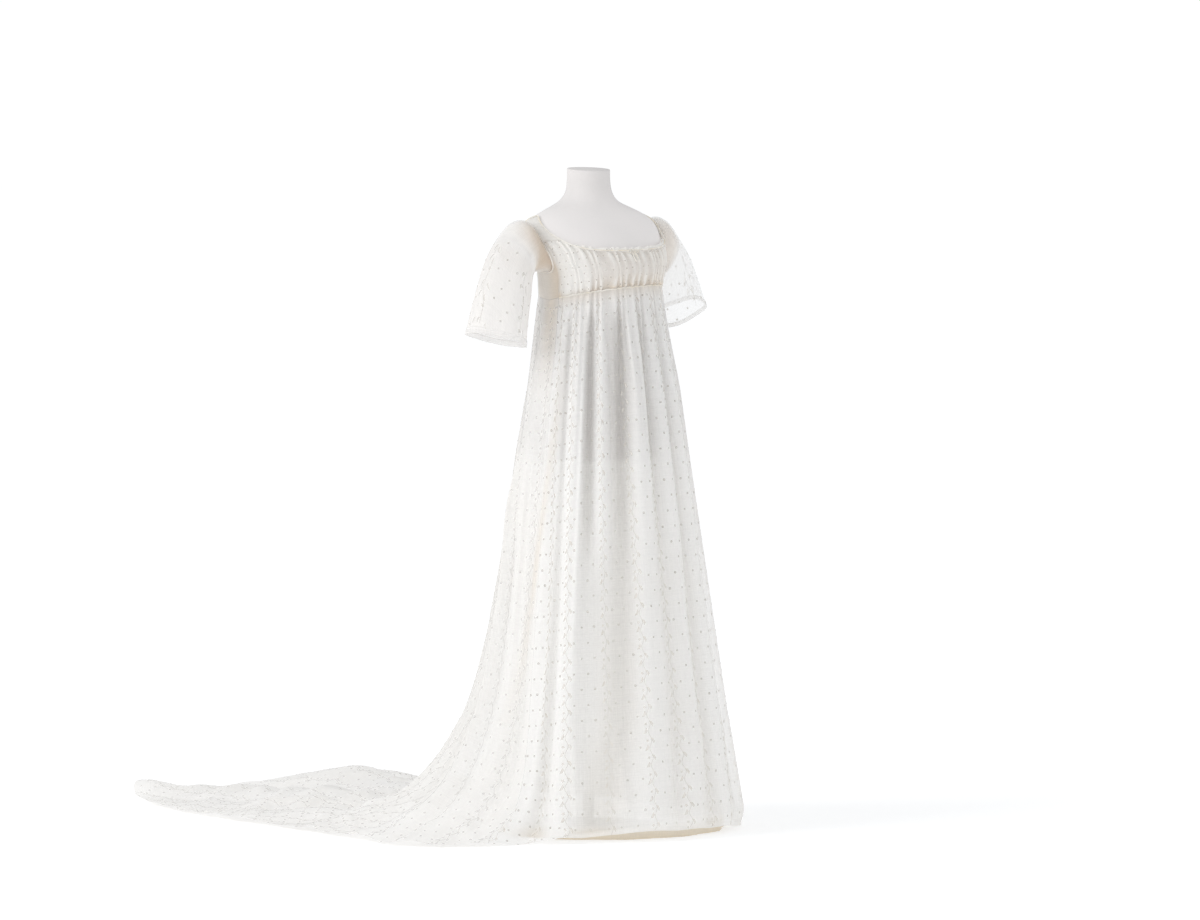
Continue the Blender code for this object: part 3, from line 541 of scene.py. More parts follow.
def makeStand():
    foot = formTable[0, 0]
    flangeLow = foot - stand["seatGap"] - stand["flangeHeight"]
    poleLow = stand["plateHeight"] + stand["seatGap"]
    turnedPiece("standPlateDisc", stand["plateRadius"], 0.0, stand["plateHeight"], "stand_plate")
    turnedPiece("standPoleTube", stand["poleRadius"], poleLow, flangeLow - stand["seatGap"],
                "stand_pole")
    turnedPiece("standFlangeDisc", stand["flangeRadius"], flangeLow,
                flangeLow + stand["flangeHeight"], "stand_flange")


makeForm()
makeStand()
print("dress form and stand made")


# Bodice

bodice = {"ease": 0.006, "heading": 0.005, "columns": 352, "rises": 44, "snug": 0.0009}


def armholeFront(z):
    reach = np.where(z > armhole["z"], armhole["up"], armhole["down"])
    share = np.minimum(1.0, np.abs(z - armhole["z"]) / reach)
    return 90.0 - armhole["front"] * np.sqrt(1 - share * share)


def armholeZ(angle, way):
    half = np.where(angle < 90.0, armhole["front"], armhole["back"])
    share = np.minimum(1.0, np.abs(angle - 90.0) / half)
    reach = armhole["up"] if way > 0 else armhole["down"]
    return armhole["z"] + way * (reach * np.sqrt(1 - share * share) + 0.001)


def frontGrid():
    columns = np.linspace(-1, 1, bodice["columns"] + 1)
    side, rise = np.meshgrid(columns, np.linspace(0, 1, bodice["rises"] + 1))
    cornerZ = np.where(side > 0, corners[1][0], corners[-1][0])
    cornerAngle = np.where(side > 0, corners[1][1], corners[-1][1])
    low = waistZ(side * seamAngle) + seamGap
    topAngle = side * armholeFront(cornerZ)
    high = np.minimum(necklineZ(topAngle), cornerZ)
    gathered = smooth((cornerAngle - 4.0 - np.abs(topAngle)) / 8.0)
    high = high + bodice["heading"] * gathered
    z = lerp(low, high, rise)
    angle = side * np.minimum(seamAngle, armholeFront(z) - 0.5)
    puff = np.sin(np.pi * rise) ** 1.6
    nearSide = smooth((1.0 - np.abs(side)) / 0.25)
    loose = waistOff(side * seamAngle) * (1 - 0.6 * rise)
    off = lerp(seamOff(angle, z), loose, nearSide) + clothWall / 2
    off = off + bodice["ease"] * puff * nearSide
    cordRise = 1 - (bodice["heading"] + 0.0015) / np.maximum(0.02, high - low)
    cordRise = np.where(gathered > 0, cordRise, 1.0)
    near = np.minimum(rise, np.abs(rise - cordRise)) * (high - low)  # metres from a cord
    drawn = 0.35 + 0.65 * np.abs(2 * rise - 1) ** 1.5
    drawn = drawn + 0.85 * smooth(near / 0.005) * (1 - smooth((near - 0.006) / 0.035))
    wander = 1.3 * np.sin(2.2 * rise + uneven(side * seamAngle, 0, 6.3, 3)) * puff
    at = side * seamAngle + wander
    off = off + gathers["depth"] * drawn * gatherWave(at) * uneven(at, 0.8, 1.25, 5)
    runs = uneven(at, -0.5, 1.0, 8)  # some gathers run from cord to cord
    crease = gatherWave(at + 1.2) ** 2 * puff * np.maximum(0, runs)
    off = off + 0.0036 * crease
    over = smooth(rise / 0.02) * (1 - smooth((rise - 0.05) / 0.14))  # bunches over the cord
    off = off + 0.0024 * over * gatherWave(at) * uneven(at, 0.1, 1.3, 23)
    pucker = smooth(1 - np.abs(rise) / 0.12) + smooth(1 - np.abs(rise - 0.95) / 0.10)
    fine = np.sin(2 * np.pi * 2.5 * gatherTurns(at))
    off = off + 0.0006 * pucker * fine * gathered
    # the cloth is thicker in the crests and thin in the troughs
    crest = gatherWave(at) ** 1.5 * (0.35 + 0.65 * np.clip(drawn - 0.3, 0, 1))
    crest = np.clip(crest + 0.9 * crease + 0.25 * pucker * fine, 0, 1) * nearSide
    crest = lerp(uneven(side * seamAngle + 20 * rise, 0.25, 0.65, 17), crest, 0.75)
    crest = crest + (1 - crest) * 0.75 * smooth((-38 - side * seamAngle) / 14)
    crest = lerp(crest, 1.0, smooth((rise - cordRise + 0.02) / 0.02))  # the heading is turned over
    return offForm(angle, z, off), angle, rise, gathered, crest


def pullIn(grid):
    # moves side edges in, so that a seam keeps its gap
    for edge, inner in ((0, 1), (-1, -2)):
        grid[:, edge] += unit(grid[:, inner] - grid[:, edge]) * seamGap / 2
    return grid


def toSide(grid, side):
    # a panel drawn on the wearer's left, or mirrored to the right
    if side > 0:
        return grid
    return (grid * [-1, 1, 1])[:, ::-1]


def bodiceSideGrid(side, columns=24, rises=30):
    angle, rise = np.meshgrid(np.linspace(seamAngle, backSeamAngle, columns + 1),
                              np.linspace(0, 1, rises + 1))
    z = lerp(waistZ(side * angle) + seamGap, armholeZ(angle, -1), rise)
    wrinkle = 0.0006 * np.sin(angle * 0.35 + 5 * rise) * np.sin(np.pi * rise)
    grid = offForm(angle, z, seamOff(angle, z) + clothWall / 2 + wrinkle)
    return toSide(pullIn(grid), side)


def backTop(angle, side):
    share = (angle - strapEndAngle) / (strapEndNeck - strapEndAngle)
    strapEnd = lerp(armholeZ(strapEndAngle, 1), necklineZ(side * strapEndNeck), share)
    return np.minimum(necklineZ(side * angle), strapEnd) - seamGap


def bodiceBackGrid(side, columns=40, lowRises=24, rises=40):
    share = np.linspace(0, 1, columns + 1)
    rows = []
    for k in range(rises + 1):
        lowAngle = lerp(backSeamAngle, 180.0, share)
        topAngle = lerp(strapEndAngle, 180.0, share)
        low = waistZ(side * lowAngle) + seamGap
        if k <= lowRises:
            z, lean = lerp(low, armhole["z"], k / lowRises), 0.0
        else:
            lean = (k - lowRises) / (rises - lowRises)
            z = lerp(armhole["z"], backTop(topAngle, side), lean)
        angle = lerp(lowAngle, topAngle, lean)
        drawn = 0.0008 * np.sin(2 * np.pi * angle / 6.5) ** 2 * smooth((angle - 150) / 20)
        rows.append(offForm(angle, z, seamOff(angle, z) + clothWall / 2 + drawn))
    return toSide(pullIn(np.array(rows)), side)


def strapOff(s):
    lifted = 1 - smooth(s / 0.25) + smooth((s - 0.75) / 0.25)
    return lerp(bodice["snug"], 0.0024, lifted)


def strapGrid(side, columns=64, across=12):
    cornerZ, cornerAngle = corners[side]
    s, share = np.meshgrid(np.linspace(0, 1, columns + 1), np.linspace(0, 1, across + 1))
    outer = lerp(armholeFront(cornerZ), strapEndAngle, s)
    inner = lerp(cornerAngle, strapEndNeck, s)
    angle = lerp(outer, inner, share)
    z = lerp(armholeZ(outer, 1), necklineZ(side * inner), share)
    z = np.maximum(z, cornerZ + 2 * seamGap)
    pucker = 0.0005 * np.sin(2 * np.pi * s * 17) * smooth((share - 0.55) / 0.4)
    return toSide(offForm(angle, z, strapOff(s) + clothWall / 2 + pucker), side)


def makeBodice():
    grid, angle, rise, gathered, crest = frontGrid()
    clothMap = measuredMap(grid)
    # yellowed, with painted shade, near the armholes; painted shade just above the waist cord and in the
    # troughs between the gathers
    yellowedAndShaded = 0.55 * smooth((np.abs(angle) - 71) / 6) * smooth(1.5 - rise)
    yellowedAndShaded = yellowedAndShaded + 0.75 * smooth(1 - rise / 0.14) * uneven(angle, 0.1, 1.0, 12)
    troughs = (1 - crest) * (0.4 + smooth(1 - rise / 0.45)) * gathered
    yellowedAndShaded = yellowedAndShaded + lerp(0.25, 0.80, smooth((angle + 60) / 50)) * troughs
    yellowedAndShaded = np.clip(yellowedAndShaded, 0, 0.9)
    front = clothPiece("bodiceFrontMuslin", pullIn(grid), clothMap, bodiceMuslin,
                       yellowedAndShaded=yellowedAndShaded, doubled=crest)
    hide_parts("bodice_front")
    for side, word in ((-1, "Right"), (1, "Left")):
        low = word.lower()
        for kind, grid, flat, node in (
            ("bodiceSide", bodiceSideGrid(side), (0.100, 0.055), "bodice_side_"),
            ("bodiceBack", bodiceBackGrid(side), (0.150, 0.135), "bodice_back_"),
            ("shoulderStrap", strapGrid(side), (0.135, 0.030) if side < 0 else (0.122, 0.026),
             "shoulder_strap_"),
        ):
            turned = np.linspace(0, 1, grid.shape[1])[::side] * np.ones(grid.shape[:2])
            # the side panels are yellowed and darkened with painted shade towards the front seam, under
            # the armhole
            brownedAndShaded = 0.30 + 0.50 * smooth(1 - turned / 0.5) if kind == "bodiceSide" else 0.06
            piece = clothPiece(kind + word, grid, measuredMap(grid), bodiceMuslin,
                               yellowedAndShaded=brownedAndShaded, doubled=1.0 if kind == "shoulderStrap" else 0.8)
            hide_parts(node + low)
    return front


bodiceFront = makeBodice()
print("bodice made")


# Sleeves: hem centre, hem height, tilt of the hem, and the point that the middle bends round

sleeves = {
    "Right": {"side": -1, "hem": (0.272, 1.088), "tilt": 16.0, "bend": (0.242, 1.290),
              "thick": 0.7, "stainAndShade": 1.0, "grey": 0.12},
    "Left": {"side": 1, "hem": (0.264, 1.124), "tilt": 26.0, "bend": (0.226, 1.262),
             "thick": -0.2, "stainAndShade": 0.35, "grey": 0.0},
}
sleeveCut = {"length": 0.29, "sides": 132, "rows": 64, "stand": 0.0044, "inArmhole": 0.965,
             "hemWidth": 0.010, "hemWall": 0.0012, "folds": 5, "foldDepth": 0.003,
             "liningShare": 0.36, "liningInset": 0.0030, "headGathers": 15, "welt": 0.0032}
sleeveGirth = np.array([(0.00, 0.050), (0.16, 0.060), (0.40, 0.057), (0.70, 0.060), (1.00, 0.067)])


def sleevePoint(cut, share, turn):
    # drawn on the wearer's left; turn goes round the sleeve in degrees
    psi = np.radians(turn)
    up = np.where(np.cos(psi) > 0, armhole["up"], armhole["down"])
    half = np.where(np.sin(psi) > 0, armhole["front"], armhole["back"])
    start = offForm(90.0 - half * np.sin(psi) * sleeveCut["inArmhole"],
                    armhole["z"] + up * np.cos(psi) * sleeveCut["inArmhole"],
                    sleeveCut["stand"])
    shoulder = np.array([0.177, -0.006, armhole["z"] + 0.020])
    bend = np.array([cut["bend"][0], -0.004, cut["bend"][1]])
    hem = np.array([cut["hem"][0], 0.0, cut["hem"][1]])
    s = np.asarray(share)[..., None]
    middle = shoulder * (1 - s) ** 2 + bend * 2 * s * (1 - s) + hem * s**2
    lean = np.radians(lerp(96.0, cut["tilt"], smooth(share * 1.15) ** 0.8))
    outward = np.stack([np.cos(lean), 0 * lean, np.sin(lean)], axis=-1)
    girth = readTable(sleeveGirth, 1, share)
    girth = girth + sleeveCut["foldDepth"] * share * np.cos(sleeveCut["folds"] * psi + cut["side"])
    head = smooth(1 - share / 0.20) * smooth(share / 0.03) * (0.5 + 0.5 * np.cos(psi))
    girth = girth + 0.0014 * head * np.sin(sleeveCut["headGathers"] * psi)
    crease = np.sin(3 * psi + 9 * share) * np.sin(np.pi * np.clip(share, 0, 1)) * 0.0011
    girth = girth + crease
    forward = np.stack([0 * psi, -girth * np.sin(psi), 0 * psi], axis=-1)
    ring = middle + outward * (girth * np.cos(psi))[..., None] + forward
    return lerp(start, ring, smooth(share / 0.22)[..., None])


def sleeveGrid(cut, shares, inset=0.0):
    turn, share = np.meshgrid(360.0 * np.arange(sleeveCut["sides"]) / sleeveCut["sides"], shares)
    point = sleevePoint(cut, share, turn)
    if inset:
        down = sleevePoint(cut, share + 0.02, turn) - sleevePoint(cut, np.maximum(0, share - 0.02), turn)
        around = sleevePoint(cut, share, turn + 4) - sleevePoint(cut, share, turn - 4)
        point = point + unit(np.cross(down, around)) * inset
    if cut["side"] < 0:
        point = point * [-1, 1, 1]
        point = np.concatenate([point[:, :1], point[:, :0:-1]], axis=1)
    return point


def aroundMap(grid):
    closed = np.concatenate([grid, grid[:, :1]], axis=1)
    down = lengthsAlong(closed, 0)
    across = lengthsAlong(closed, 1)
    return np.stack([lerp(across, across[-1:], 0.6), down], axis=-1)


def sleeveStainAndShade(cut, share):
    # yellowed along the armhole, with painted shade there too, most at the front and below
    sides = sleeveCut["sides"]
    turn = cut["side"] * 360.0 * np.arange(sides) / sides
    low = smooth(1.25 - np.abs(wrapped(turn - 92)) / 80.0)[None]
    edge = 0.5 * smooth(1 - share / 0.07)
    return np.clip(edge + cut["stainAndShade"] * low * smooth((0.40 - share) / 0.26), 0, 1)


def makeSleeves():
    made, rings = {}, []
    for word, cut in sleeves.items():
        low = word.lower()
        hemStart = 1.0 - sleeveCut["hemWidth"] / sleeveCut["length"]
        grid = sleeveGrid(cut, np.linspace(0, hemStart, sleeveCut["rows"]))
        share = np.linspace(0, 1, sleeveCut["rows"])[:, None]
        yellowedAndShaded = sleeveStainAndShade(cut, share) + cut["grey"] * smooth((share - 0.4) / 0.1)
        sleeve = clothPiece("sleeve" + word, grid, aroundMap(grid), sleeveMuslin,
                            around=True, yellowedAndShaded=yellowedAndShaded, doubled=cut["thick"] * smooth((share - 0.3) / 0.12))
        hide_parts("sleeve_" + low)
        gap = seamGap / sleeveCut["length"]
        outer = sleeveGrid(cut, np.linspace(hemStart + gap, 1.0, 8), -sleeveCut["hemWall"])
        inner = sleeveGrid(cut, np.linspace(1.0, hemStart + gap, 8))
        grid = np.concatenate([outer, inner, outer[:1]], axis=0)
        edge = np.abs(np.linspace(-1, 1, len(grid)))[:, None]  # 1 at the stitches, 0 at the fold
        hem = clothPiece("sleeveHem" + word, grid, aroundMap(grid), sleeveMuslin,
                         around=True, doubled=0.2 + 0.6 * smooth((edge - 0.7) / 0.2), yellowedAndShaded=0.05)
        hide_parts("sleeve_hem_" + low)
        liningShare = np.linspace(0, sleeveCut["liningShare"], 24)[:, None]
        grid = sleeveGrid(cut, liningShare[:, 0], sleeveCut["liningInset"])
        lining = clothPiece("sleeveLining" + word, grid, aroundMap(grid), liningCotton,
                            around=True, yellowedAndShaded=sleeveStainAndShade(cut, liningShare))
        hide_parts("sleeve_lining_" + low)
        made[word] = sleeve
        rings.append(sleeveGrid(cut, np.array([0.004]))[0])
    tubePiece("armholeWelts", rings, [sleeveCut["welt"] / 2] * 2, pipingCotton,
              sides=8, closed=True)
    return made


sleevePieces = makeSleeves()
print("sleeves made")


# Outer skirt: where each rib meets the floor, where its hem lies, how high it starts to
# bend, and how far its hem is off the floor

hemTable = np.array([
    (-180, -0.02, 0.255, -0.02, 1.215, 0.60, 0.000), (-168, -0.08, 0.250, -0.325, 1.175, 0.60, 0.000),
    (-152, -0.13, 0.215, -0.48, 0.800, 0.60, 0.000), (-135, -0.18, 0.170, -0.515, 0.455, 0.58, 0.000),
    (-118, -0.22, 0.120, -0.555, 0.155, 0.54, 0.000), (-100, -0.26, 0.030, -0.575, -0.010, 0.44, 0.000),
    (-80, -0.27, -0.080, -0.475, -0.125, 0.30, 0.000), (-60, -0.26, -0.180, -0.310, -0.205, 0.15, 0.000),
    (-45, -0.24, -0.235, -0.245, -0.240, 0.10, 0.012), (-30, -0.17, -0.285, -0.172, -0.287, 0.08, 0.020),
    (0, 0.00, -0.320, 0.00, -0.322, 0.08, 0.020), (30, 0.167, -0.269, 0.168, -0.271, 0.08, 0.012),
    (50, 0.255, -0.200, 0.257, -0.202, 0.08, 0.000), (80, 0.33, -0.060, 0.340, -0.065, 0.20, 0.000),
    (100, 0.34, 0.040, 0.385, 0.060, 0.30, 0.000), (118, 0.31, 0.120, 0.400, 0.250, 0.38, 0.000),
    (135, 0.25, 0.190, 0.385, 0.500, 0.48, 0.000), (152, 0.16, 0.235, 0.340, 0.800, 0.55, 0.000),
    (168, 0.06, 0.255, 0.240, 1.150, 0.60, 0.000), (180, -0.02, 0.255, -0.02, 1.215, 0.60, 0.000),
])
# Main folds: angle at the waist and at the hem, half width at the hem, depth at the top
# and at the hem, and the shares of the length where each starts and ends
foldTable = [
    (-172, -171, 6.5, 0.010, 0.030, 0.02, 1.2), (-160, -159, 7.0, 0.010, 0.024, 0.02, 1.2),
    (-146, -146, 8.0, 0.008, 0.034, 0.05, 1.2), (-130, -131, 8.5, 0.006, 0.026, 0.10, 1.2),
    (-112, -114, 9.0, 0.005, 0.032, 0.15, 1.2), (-95, -96, 9.0, 0.006, 0.026, 0.10, 1.2),
    (-72, -77, 8.5, 0.010, 0.024, 0.02, 1.2), (-53, -56, 9.5, 0.012, 0.032, 0.02, 1.2),
    (-34, -36, 5.5, 0.012, 0.000, 0.02, 0.42), (-9, -17, 9.5, 0.019, 0.028, 0.02, 1.2),
    (13, 3, 7.0, 0.013, 0.024, 0.02, 1.2), (33, 24, 8.5, 0.014, 0.024, 0.02, 1.2),
    (52, 46, 8.5, 0.010, 0.026, 0.02, 1.2), (70, 68, 9.0, 0.006, 0.022, 0.06, 1.2),
    (92, 90, 9.0, 0.005, 0.022, 0.12, 1.2), (111, 110, 9.0, 0.005, 0.026, 0.15, 1.2),
    (128, 130, 8.5, 0.007, 0.026, 0.08, 1.2), (144, 146, 8.0, 0.008, 0.030, 0.05, 1.2),
    (158, 159, 7.0, 0.010, 0.024, 0.02, 1.2), (170, 172, 6.0, 0.010, 0.030, 0.02, 1.2),
]
skirt = {"bendRun": 0.32, "hangingFoot": 0.25, "hangingShare": 0.55, "bendCrowding": 1.35,
         "crumple": 0.010, "crumpleLength": 0.16,
         "wall": 0.0015, "goreAngle": 118.0,
         "frontColumns": 396, "goreColumns": 72, "trainColumns": 312}


# Where the train stands up from the floor: x, y, reach, height
trainSwells = [(-0.30, 1.165, 0.085, 0.028), (0.21, 1.02, 0.13, 0.032), (0.30, 0.70, 0.12, 0.018)]


def ribLine(angle):
    angle = float(wrapped(angle))
    top = offForm(angle, waistZ(angle) - seamGap, waistOff(angle) + skirt["wall"] / 2)
    footX, footY, hemX, hemY, bend, lift = (readTable(hemTable, c, angle) for c in range(1, 7))
    foot = np.array([footX, footY, max(0.0, lift)])
    hem = np.array([hemX, hemY, max(0.0, lift)])
    bendTop = foot + (top - foot) * (bend / top[2])
    lying = np.linalg.norm(hem - foot)
    run = min(lying, skirt["bendRun"])
    bendEnd = foot + (hem - foot) * (run / max(lying, 1e-6))
    t = np.linspace(0, 1, 25)[:, None]
    line = [lerp(top, bendTop, t[:-1]), bendTop * (1 - t) ** 2 + foot * 2 * t * (1 - t) + bendEnd * t * t]
    if lying > run + 1e-4:
        line.append(lerp(bendEnd, hem, np.linspace(0, 1, 9)[1:, None]))
    return np.concatenate(line)


def ribGrid(angles, shares):
    base = np.empty((len(shares), len(angles), 3))
    for i, angle in enumerate(angles):
        line = ribLine(angle)
        lengths = np.linalg.norm(np.diff(line, axis=0), axis=1)
        total = np.concatenate([[0.0], np.cumsum(lengths)])
        hanging = np.interp(-skirt["hangingFoot"], -line[:, 2], total)
        lying = np.maximum(0.0, shares - skirt["hangingShare"]) / (1 - skirt["hangingShare"])
        reach = hanging * np.minimum(1.0, shares / skirt["hangingShare"])
        reach = reach + (total[-1] - hanging) * lying ** skirt["bendCrowding"]
        for axis in range(3):
            base[:, i, axis] = np.interp(reach, total, line[:, axis])
    return base


def foldShape(angle, share, centre, half):
    away = np.abs(wrapped(angle - centre))
    return np.where(away < 1.6 * half, np.cos(np.pi / 2 * np.minimum(1, away / (1.6 * half))) ** 2, 0)


# Thin places between the folds: angle at the waist and at the hem, half width in degrees,
# strength, and the share of the length where each ends
thinTable = [(-42, -47, 4.0, 1.0, 0.37), (-18, -38, 5.5, 1.0, 1.3), (3, -7, 3.0, 0.5, 1.2),
             (23, 14, 3.5, 0.5, 1.2), (43, 36, 4.0, 0.6, 1.2), (-63, -66, 3.5, 0.5, 1.2)]


def thickness(angle, share):
    # how far the cloth lies double: more in the gathers and crests, less in the troughs
    crest = np.zeros_like(angle)
    for top, hem, half, depthTop, depthHem, start, end in foldTable:
        shape = foldShape(angle, share, lerp(top, hem, share), 0.8 * half)
        crest = np.maximum(crest, shape * (1 - smooth((share - end + 0.15) / 0.15)))
    base = lerp(0.68, 0.42, smooth((share - 0.27) / 0.12))
    base = base - 0.40 * smooth((angle - 36) / 10) * smooth((75 - angle) / 10)
    base = base + 0.30 * smooth((-46 - angle) / 6) * smooth((angle + 100) / 10)
    thick = base + 0.38 * crest + 0.25 * smooth(1 - share / 0.07)
    for top, hem, half, strength, end in thinTable:
        shape = foldShape(angle, share, lerp(top, hem, share), half)
        shape = shape * smooth(share / 0.05) * smooth((end - share) / 0.1)
        thick = thick - 1.15 * base * strength * shape
    at = np.clip(wrapped(angle), -seamAngle, seamAngle)
    drawn = (gatherWave(at) ** 2 - 0.35) * (1 - smooth(share / uneven(at, 0.08, 0.30, 31)))
    return np.clip(thick + 0.5 * drawn, 0, 1)


def mainFolds(angle, share):
    height = np.zeros_like(angle)
    for top, hem, half, depthTop, depthHem, start, end in foldTable:
        shape = foldShape(angle, share, lerp(top, hem, share), half * lerp(0.75, 1.0, share))
        shape = shape * smooth((share - start) / 0.12) * (1 - smooth((share - end + 0.15) / 0.15))
        height = np.maximum(height, shape * lerp(depthTop, depthHem, share))
    return height


# Smaller creases, given one by one: angle at its start and end, half width in degrees,
# height (a trough is below 0), and the shares of the length where it starts and ends
creaseTable = [
    (-46, -49, 2.2, 0.006, 0.02, 0.55), (-41, -42, 1.6, -0.004, 0.02, 0.40),
    (-62, -68, 2.4, 0.005, 0.02, 0.70), (-24, -27, 2.0, 0.005, 0.01, 0.38),
    (-19, -22, 1.4, -0.004, 0.01, 0.30), (-2, -6, 1.8, 0.004, 0.01, 0.34),
    (5, 1, 1.6, -0.005, 0.01, 0.36), (19, 13, 2.0, 0.005, 0.01, 0.45),
    (25, 21, 1.5, -0.004, 0.01, 0.33), (41, 36, 2.2, 0.006, 0.01, 0.52),
    (45, 40, 1.5, -0.004, 0.01, 0.36), (60, 55, 2.2, 0.005, 0.02, 0.60),
    (-30, -26, 2.6, 0.008, 0.50, 1.05), (-8, -7, 2.2, 0.006, 0.55, 1.05),
    (12, 13, 2.6, 0.008, 0.48, 1.05), (34, 35, 2.4, 0.007, 0.52, 1.05),
    (57, 58, 2.6, 0.007, 0.50, 1.05), (-66, -72, 3.0, 0.009, 0.40, 1.05),
    (-47, -45, 2.2, 0.007, 0.58, 1.05),
]


def creases(angle, share):
    height = np.zeros_like(angle)
    rng = np.random.default_rng(21)
    table = list(creaseTable)
    for k in range(64):  # more of the same sort on the sides and the back
        start = rng.uniform(0.01, 0.6)
        centre = 180 + rng.uniform(-106, 106)
        table.append((centre, centre + rng.uniform(-5, 5), rng.uniform(1.2, 2.8),
                      rng.choice([-1, 1, 1]) * rng.uniform(0.003, 0.007), start,
                      start + rng.uniform(0.25, 0.5)))
    for first, last, half, depth, start, end in table:
        run = (share - start) / (end - start)
        shape = foldShape(angle, share, lerp(first, last, np.clip(run, 0, 1)), half)
        height = height + depth * shape * smooth(run / 0.3) * smooth((1 - run) / 0.35)
    return height


def waistGathers(angle, share):
    # crests that start at the cord and run down for uneven lengths
    angle = wrapped(angle)
    inFront = np.abs(angle) < seamAngle
    at = np.clip(angle, -seamAngle, seamAngle)
    reach = uneven(at, 0.08, 0.34, 31)
    deep = uneven(at, 0.8, 1.3, 32)
    wave = gatherWave(at) * deep * (1 - smooth(share / reach))
    pucker = np.sin(2 * np.pi * 2.5 * gatherTurns(at)) * smooth(1 - share / 0.012)
    bulge = 1 + 0.8 * smooth(share / 0.006) * (1 - smooth((share - 0.02) / 0.10))
    front = gathers["depth"] * wave * bulge + 0.0006 * pucker
    back = 0.0022 * np.sin(2 * np.pi * angle / 5.2) ** 2 * (1 - smooth(share / 0.12))
    back = back * smooth((np.abs(angle) - 140) / 16)
    return np.where(inFront, front, back)


def trainRidges(x, y):
    # wrinkles of the cloth that lies on the floor
    rng = np.random.default_rng(5)
    height = np.zeros_like(x)
    for k in range(130):
        cx, cy = rng.uniform(-0.58, 0.42), rng.uniform(-0.05, 1.22)
        lean = rng.normal(0.0, 0.55) + (0.5 if cx < -0.25 else 0.0)
        long, wide = rng.uniform(0.06, 0.20), rng.uniform(0.014, 0.032)
        tall = rng.uniform(0.005, 0.020)
        dx, dy = x - cx, y - cy
        run = (dx * math.cos(lean) + dy * math.sin(lean)) / long
        bow = rng.uniform(-0.25, 0.25) * long * run**2
        off = (-dx * math.sin(lean) + dy * math.cos(lean) - bow) / wide
        shape = np.exp(-off**2) * smooth(1.3 - np.abs(run))
        height = np.maximum(height, tall * shape) + 0.25 * np.minimum(height, tall * shape)
    return height


def skirtSurface(angles, shares):
    padded = np.concatenate([angles[:1] - [1.0, 0.5], angles, angles[-1:] + [0.5, 1.0]])
    base = ribGrid(padded, shares)
    around = np.gradient(base, padded, axis=1)
    down = np.gradient(base, shares, axis=0)
    outward = unit(np.cross(down, around))[:, 2:-2]
    base = base[:, 2:-2]
    angle, share = np.meshgrid(angles, shares)
    level = offForm(angle, waistZ(wrapped(angle)), 1.0 + 0 * angle)
    level = level - offForm(angle, waistZ(wrapped(angle)), 0 * angle)
    outward = lerp(level, outward, smooth(share / 0.05)[..., None])
    lifted = mainFolds(angle, share) + waistGathers(angle, share) + creases(angle, share)
    x, y, z = base[..., 0], base[..., 1], base[..., 2]
    lies = smooth((0.05 - z) / 0.05) * smooth((share - 0.5) / 0.1)
    turns = y / skirt["crumpleLength"] + angle / 72.0
    wave = skirt["crumple"] * np.maximum(0.0, np.sin(2 * np.pi * turns))
    lifted = lifted + lies * wave * 0.6 + lies * trainRidges(x, y)
    lifted = lifted * (1 - 0.65 * lies * smooth((share - 0.84) / 0.16))
    for swellX, swellY, reach, height in trainSwells:
        away = np.hypot(x - swellX, y - swellY) / reach
        lifted = lifted + height * lies * np.exp(-away**2)
    points = base + outward * lifted[..., None]
    floor = readTable(hemTable, 6, wrapped(angle)) * 0.7
    points[..., 2] = np.maximum(points[..., 2], np.maximum(floor, 0.0012))
    return points, base, lies


def panelMap(base, columns, centre, start, widen):
    # u from the panel's middle rib; widen leads each row's width towards the hem's
    part = base[:, columns]
    across = lengthsAlong(part, 1)
    across = across - across[:, [centre]]
    return np.stack([lerp(across, across[-1:], widen) + start, lengthsAlong(part, 0)], axis=-1)


def brownFold(angle, share):
    # a browner band along a crease that runs from the front of the right side seam to behind it
    shape = foldShape(angle, share, -60.4 - 56 * share, 3.6)
    return 0.36 * shape * smooth(1 - np.abs(share - 0.32) / 0.30)


